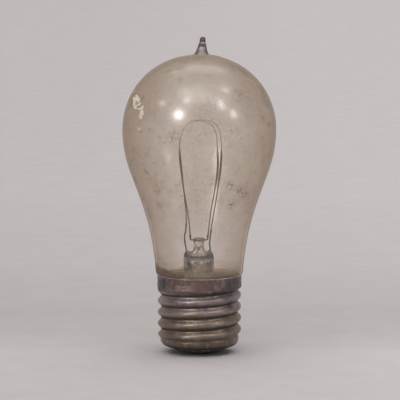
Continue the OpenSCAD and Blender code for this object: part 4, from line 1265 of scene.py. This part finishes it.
class LAMP_OT_contact(bpy.types.Operator):
    """Stamps the contact disc and sets the solder in its hole and over the wire at the rim"""

    bl_idname = "lamp.contact"
    bl_label = "Contact and Solder"

    def execute(self, context):
        contact_r, high = (CONTACT_HIGH[0] - CONTACT_LOW[0]) / 2, CONTACT_HIGH[2]
        hole_r, disc_columns, dome_columns, bead_columns = 1.1, 128, 64, 72
        loop = np.concatenate([
            even([[hole_r + 0.1, high], [contact_r - 0.12, high]], 0.25),
            arc([contact_r - 0.1, high - 0.1], 0.1, 70, 0, 4),
            arc([contact_r - 0.35, 0.35], 0.35, 0, -90, 9),
            even([[contact_r - 0.6, 0], [hole_r + 0.2, 0]], 0.2),
            [[hole_r + 0.06, 0.03], [hole_r, 0.1], [hole_r, high - 0.1]],
        ])
        rings = spun(loop, disc_columns)
        angle = ring_angles(disc_columns)
        scuffed = smooth_step(0.25, 0.0, loop[:, 1:2]) * smooth_step(1.2, 1.8, loop[:, 0:1])
        rings[:, :, 2] += 0.03 * scuffed * np.clip(ripple(angle * 3, loop[:, 0:1] * 4, 61), 0, 1)
        piece("contact_disc", rings, worn_contact_brass(), ["centre_contact"],
              closed_loop=True)

        solder = dull_solder()
        dome = np.concatenate([
            [[0.05, high - 0.02], [0.6, high - 0.02]], [[hole_r - 0.02, high - 0.06], [hole_r - 0.02, 0.2]],
            through([[hole_r - 0.05, 0.13], [0.8, 0.06], [0.45, 0.035], [0.05, 0.03]], 0.08),
        ])
        rings = spun(dome, dome_columns)
        lumps = 1 + ripple(ring_angles(dome_columns), dome[:, 0:1] * 5, 71)
        rings[:, :, 2] += 0.03 * smooth_step(0.3, 0.1, dome[:, 1:2]) * lumps
        piece("contact_solder", rings, solder, ["centre_solder"])

        # the blob at the back of the rim: a low dome on the collar with a wandering outline
        low, top = (np.array(corner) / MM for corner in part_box("side_solder"))
        collar_r = SHELL_HIGH[0]
        angle = ring_angles(bead_columns)
        share, above = blob_rows(26, 14, 0.98)
        height = (top[1] - collar_r - 0.05) * np.sqrt(np.clip(1 - share ** 2, 0, 1))
        lift = np.where(above, 0.03 + height * (1 + 0.12 * ripple(angle, share * 4, 82)), 0.02)
        reach = share * (1 + 0.07 * ripple(angle, 0 * share, 81))
        x = (top[0] - low[0]) / 2 * reach * np.cos(angle)
        z = (low[2] + top[2]) / 2 + (top[2] - low[2]) / 2 * reach * np.sin(angle)
        r = collar_r + lift
        bead = np.stack([x, np.sqrt(r ** 2 - x ** 2), z], 2)
        piece("rim_solder", bead[:, ::-1], solder, ["side_solder"])
        return {"FINISHED"}


# The flakes, as sideways place, height, half width, half height (mm) and turn (radians)
FLAKES = ((-20.25, 80.4, 0.6, 1.7, 0.18), (-19.3, 81.5, 0.65, 1.15, 0.4), (-19.2, 79.9, 1.15, 0.55, 0.3),
          (-18.2, 79.05, 1.25, 0.45, 0.57), (-17.95, 77.4, 0.7, 1.45, -0.15), (-18.6, 72.6, 0.5, 0.42, 0.0))


class LAMP_OT_paint_flake(bpy.types.Operator):
    """Leaves the last flakes of cream paint on the upper left of the bulb"""

    bl_idname = "lamp.paint_flake"
    bl_label = "Paint Flake"

    def execute(self, context):
        line = bulb_outline(sizes(context.scene.lamp_bulb))
        material = old_cream_paint()
        angle = ring_angles(96)
        share, above = blob_rows(22, 10, 0.97)
        for seed, (x, z, half_wide, half_high, turn) in enumerate(FLAKES):
            ragged = (1 + 0.3 * ripple(angle, 0 * share, 90 + seed, 4)
                      + 0.12 * ripple(angle * 4, 0 * share, 95 + seed))
            u = half_wide * share * ragged * np.cos(angle)
            v = half_high * share * ragged * np.sin(angle)
            px = x + u * math.cos(turn) - v * math.sin(turn)
            pz = z + u * math.sin(turn) + v * math.cos(turn)
            curl = (0.16 + 0.16 * share ** 2 * (1 + ripple(angle, share * 3, 99 + seed))
                    - 0.05 * share ** 8)
            back = np.minimum(curl - 0.06, 0.05 + 0.2 * share ** 4 * (curl - 0.16))
            lift = np.where(above, curl, back)
            wall = np.interp(pz, line[::-1, 1], line[::-1, 0]) + lift
            rings = np.stack([px, -np.sqrt(np.clip(wall ** 2 - px ** 2, 0.01, None)), pz], 2)
            piece(f"paint_flake_{seed + 1}", rings, material,
                  marks={"edge": np.where(above, share, 1.0)})
        return {"FINISHED"}


class LAMP_OT_stage(bpy.types.Operator):
    """Sets the pale paper floor, the soft studio lights and the camera"""

    bl_idname = "lamp.stage"
    bl_label = "Studio"

    def execute(self, context):
        scene = context.scene
        settings = scene.lamp_stage
        mesh = bpy.data.meshes.new("studio_floor")
        half, light_far = 4.0, 1.4    # metres
        mesh.from_pydata([(-half, -half, 0), (half, -half, 0), (half, half, 0), (-half, half, 0)], [],
                         [(0, 1, 2, 3)])
        floor = bpy.data.objects.new("studio_floor", mesh)
        scene.collection.objects.link(floor)
        mesh.materials.append(studio_paper(settings))

        scene.world = bpy.data.worlds.new("studio_room")
        room(scene.world, settings)
        middle = (CAD_BOX[0] + CAD_BOX[1]) / 2

        def lamp(name, kind, direction, strength, **values):
            """A lamp that shines on the middle of the object from a direction. The suns give the
            level of light, and the windows only the highlights."""
            data = bpy.data.lights.new(name, kind)
            data.energy = strength
            for key, value in values.items():
                setattr(data, key, value)
            ob = bpy.data.objects.new(name, data)
            scene.collection.objects.link(ob)
            away = Vector(direction).normalized()
            ob.location = middle + away * light_far
            ob.rotation_mode = "QUATERNION"
            ob.rotation_quaternion = away.to_track_quat("Z", "Y")
            ob.visible_glossy = kind == "AREA"
            ob.visible_diffuse = kind == "SUN"

        lamp("key_light", "SUN", (0.05, 0.4, 1.1), settings.key, angle=math.radians(85))
        lamp("front_light", "SUN", (-0.75, -0.8, 0.9), settings.front, angle=math.radians(75))
        lamp("fill_light", "SUN", (0.9, -0.5, 0.9), settings.fill, angle=math.radians(85))
        # each window as its angles round and up in degrees, its radiance, and its width and height
        for name, around, up, radiance, wide, high in (
                ("skylight_back", 180, 62, 1.7, 1.2, 0.5),
                ("skylight_front", -8, 60, 1.3, 1.2, 0.7),
                ("window_left", -34, 26.5, 25, 0.32, 0.32),
                ("window_left_high", -26, 50, 22, 0.07, 0.26),
                ("window_left_top", -43, 64.5, 20, 0.09, 0.07),
                ("window_side", -72, 37, 34, 0.08, 0.1),
                ("window_right", 42, 41.5, 18, 0.14, 0.42),
                ("window_right_low", 57.5, 24.5, 20, 0.16, 0.24),
                ("window_right_top", 75, 57, 30, 0.06, 0.18)):
            around, up = math.radians(around), math.radians(up)
            direction = (math.sin(around) * math.cos(up), -math.cos(around) * math.cos(up), math.sin(up))
            lamp(name, "AREA", direction, radiance * math.pi * wide * high, shape="ELLIPSE",
                 size=wide, size_y=high)

        # the camera, level with the neck and looking slightly down
        camera = bpy.data.cameras.new("studio_camera")
        camera.lens, camera.sensor_width = 342.0, 36.0
        camera.clip_start, camera.clip_end = 0.01, 50
        ob = bpy.data.objects.new("studio_camera", camera)
        scene.collection.objects.link(ob)
        tilt, reach, aim = math.radians(7.2), 1.2, Vector((0.00019, 0, 0.0484))
        back = Vector((0, -math.cos(tilt), math.sin(tilt)))
        ob.location = aim + back * reach
        ob.rotation_mode = "QUATERNION"
        ob.rotation_quaternion = back.to_track_quat("Z", "Y")
        scene.camera = ob
        scene.view_settings.view_transform = "Standard"
        scene.cycles.transparent_max_bounces = 32
        scene.cycles.transmission_bounces = 16
        scene.cycles.max_bounces = 20
        return {"FINISHED"}


OPERATORS = (LAMP_OT_glass_bulb, LAMP_OT_glass_stem, LAMP_OT_filament, LAMP_OT_leads,
             LAMP_OT_screw_shell, LAMP_OT_cap_filling, LAMP_OT_contact, LAMP_OT_paint_flake,
             LAMP_OT_stage)


class LAMP_PT_panel(bpy.types.Panel):
    """Lists the lamp's sizes, colours and pieces"""

    bl_idname = "LAMP_PT_panel"
    bl_label = "Dead Light Bulb"
    bl_space_type = "VIEW_3D"
    bl_region_type = "UI"
    bl_category = "Lamp"

    def draw(self, context):
        for pointer, group in GROUPS.items():
            box = self.layout.box()
            for name in group.__annotations__:
                box.prop(getattr(context.scene, pointer), name)
        for operator in OPERATORS:
            self.layout.operator(operator.bl_idname)


def register():
    for group in GROUPS.values():
        bpy.utils.register_class(group)
    for pointer, group in GROUPS.items():
        setattr(bpy.types.Scene, pointer, PointerProperty(type=group))
    for operator in OPERATORS:
        bpy.utils.register_class(operator)
    bpy.utils.register_class(LAMP_PT_panel)


def unregister():
    bpy.utils.unregister_class(LAMP_PT_panel)
    for operator in reversed(OPERATORS):
        bpy.utils.unregister_class(operator)
    for pointer, group in GROUPS.items():
        delattr(bpy.types.Scene, pointer)
        bpy.utils.unregister_class(group)


def main():
    register()
    for operator in OPERATORS:
        family, name = operator.bl_idname.split(".")
        getattr(getattr(bpy.ops, family), name)()


if __name__ == "__main__":
    main()
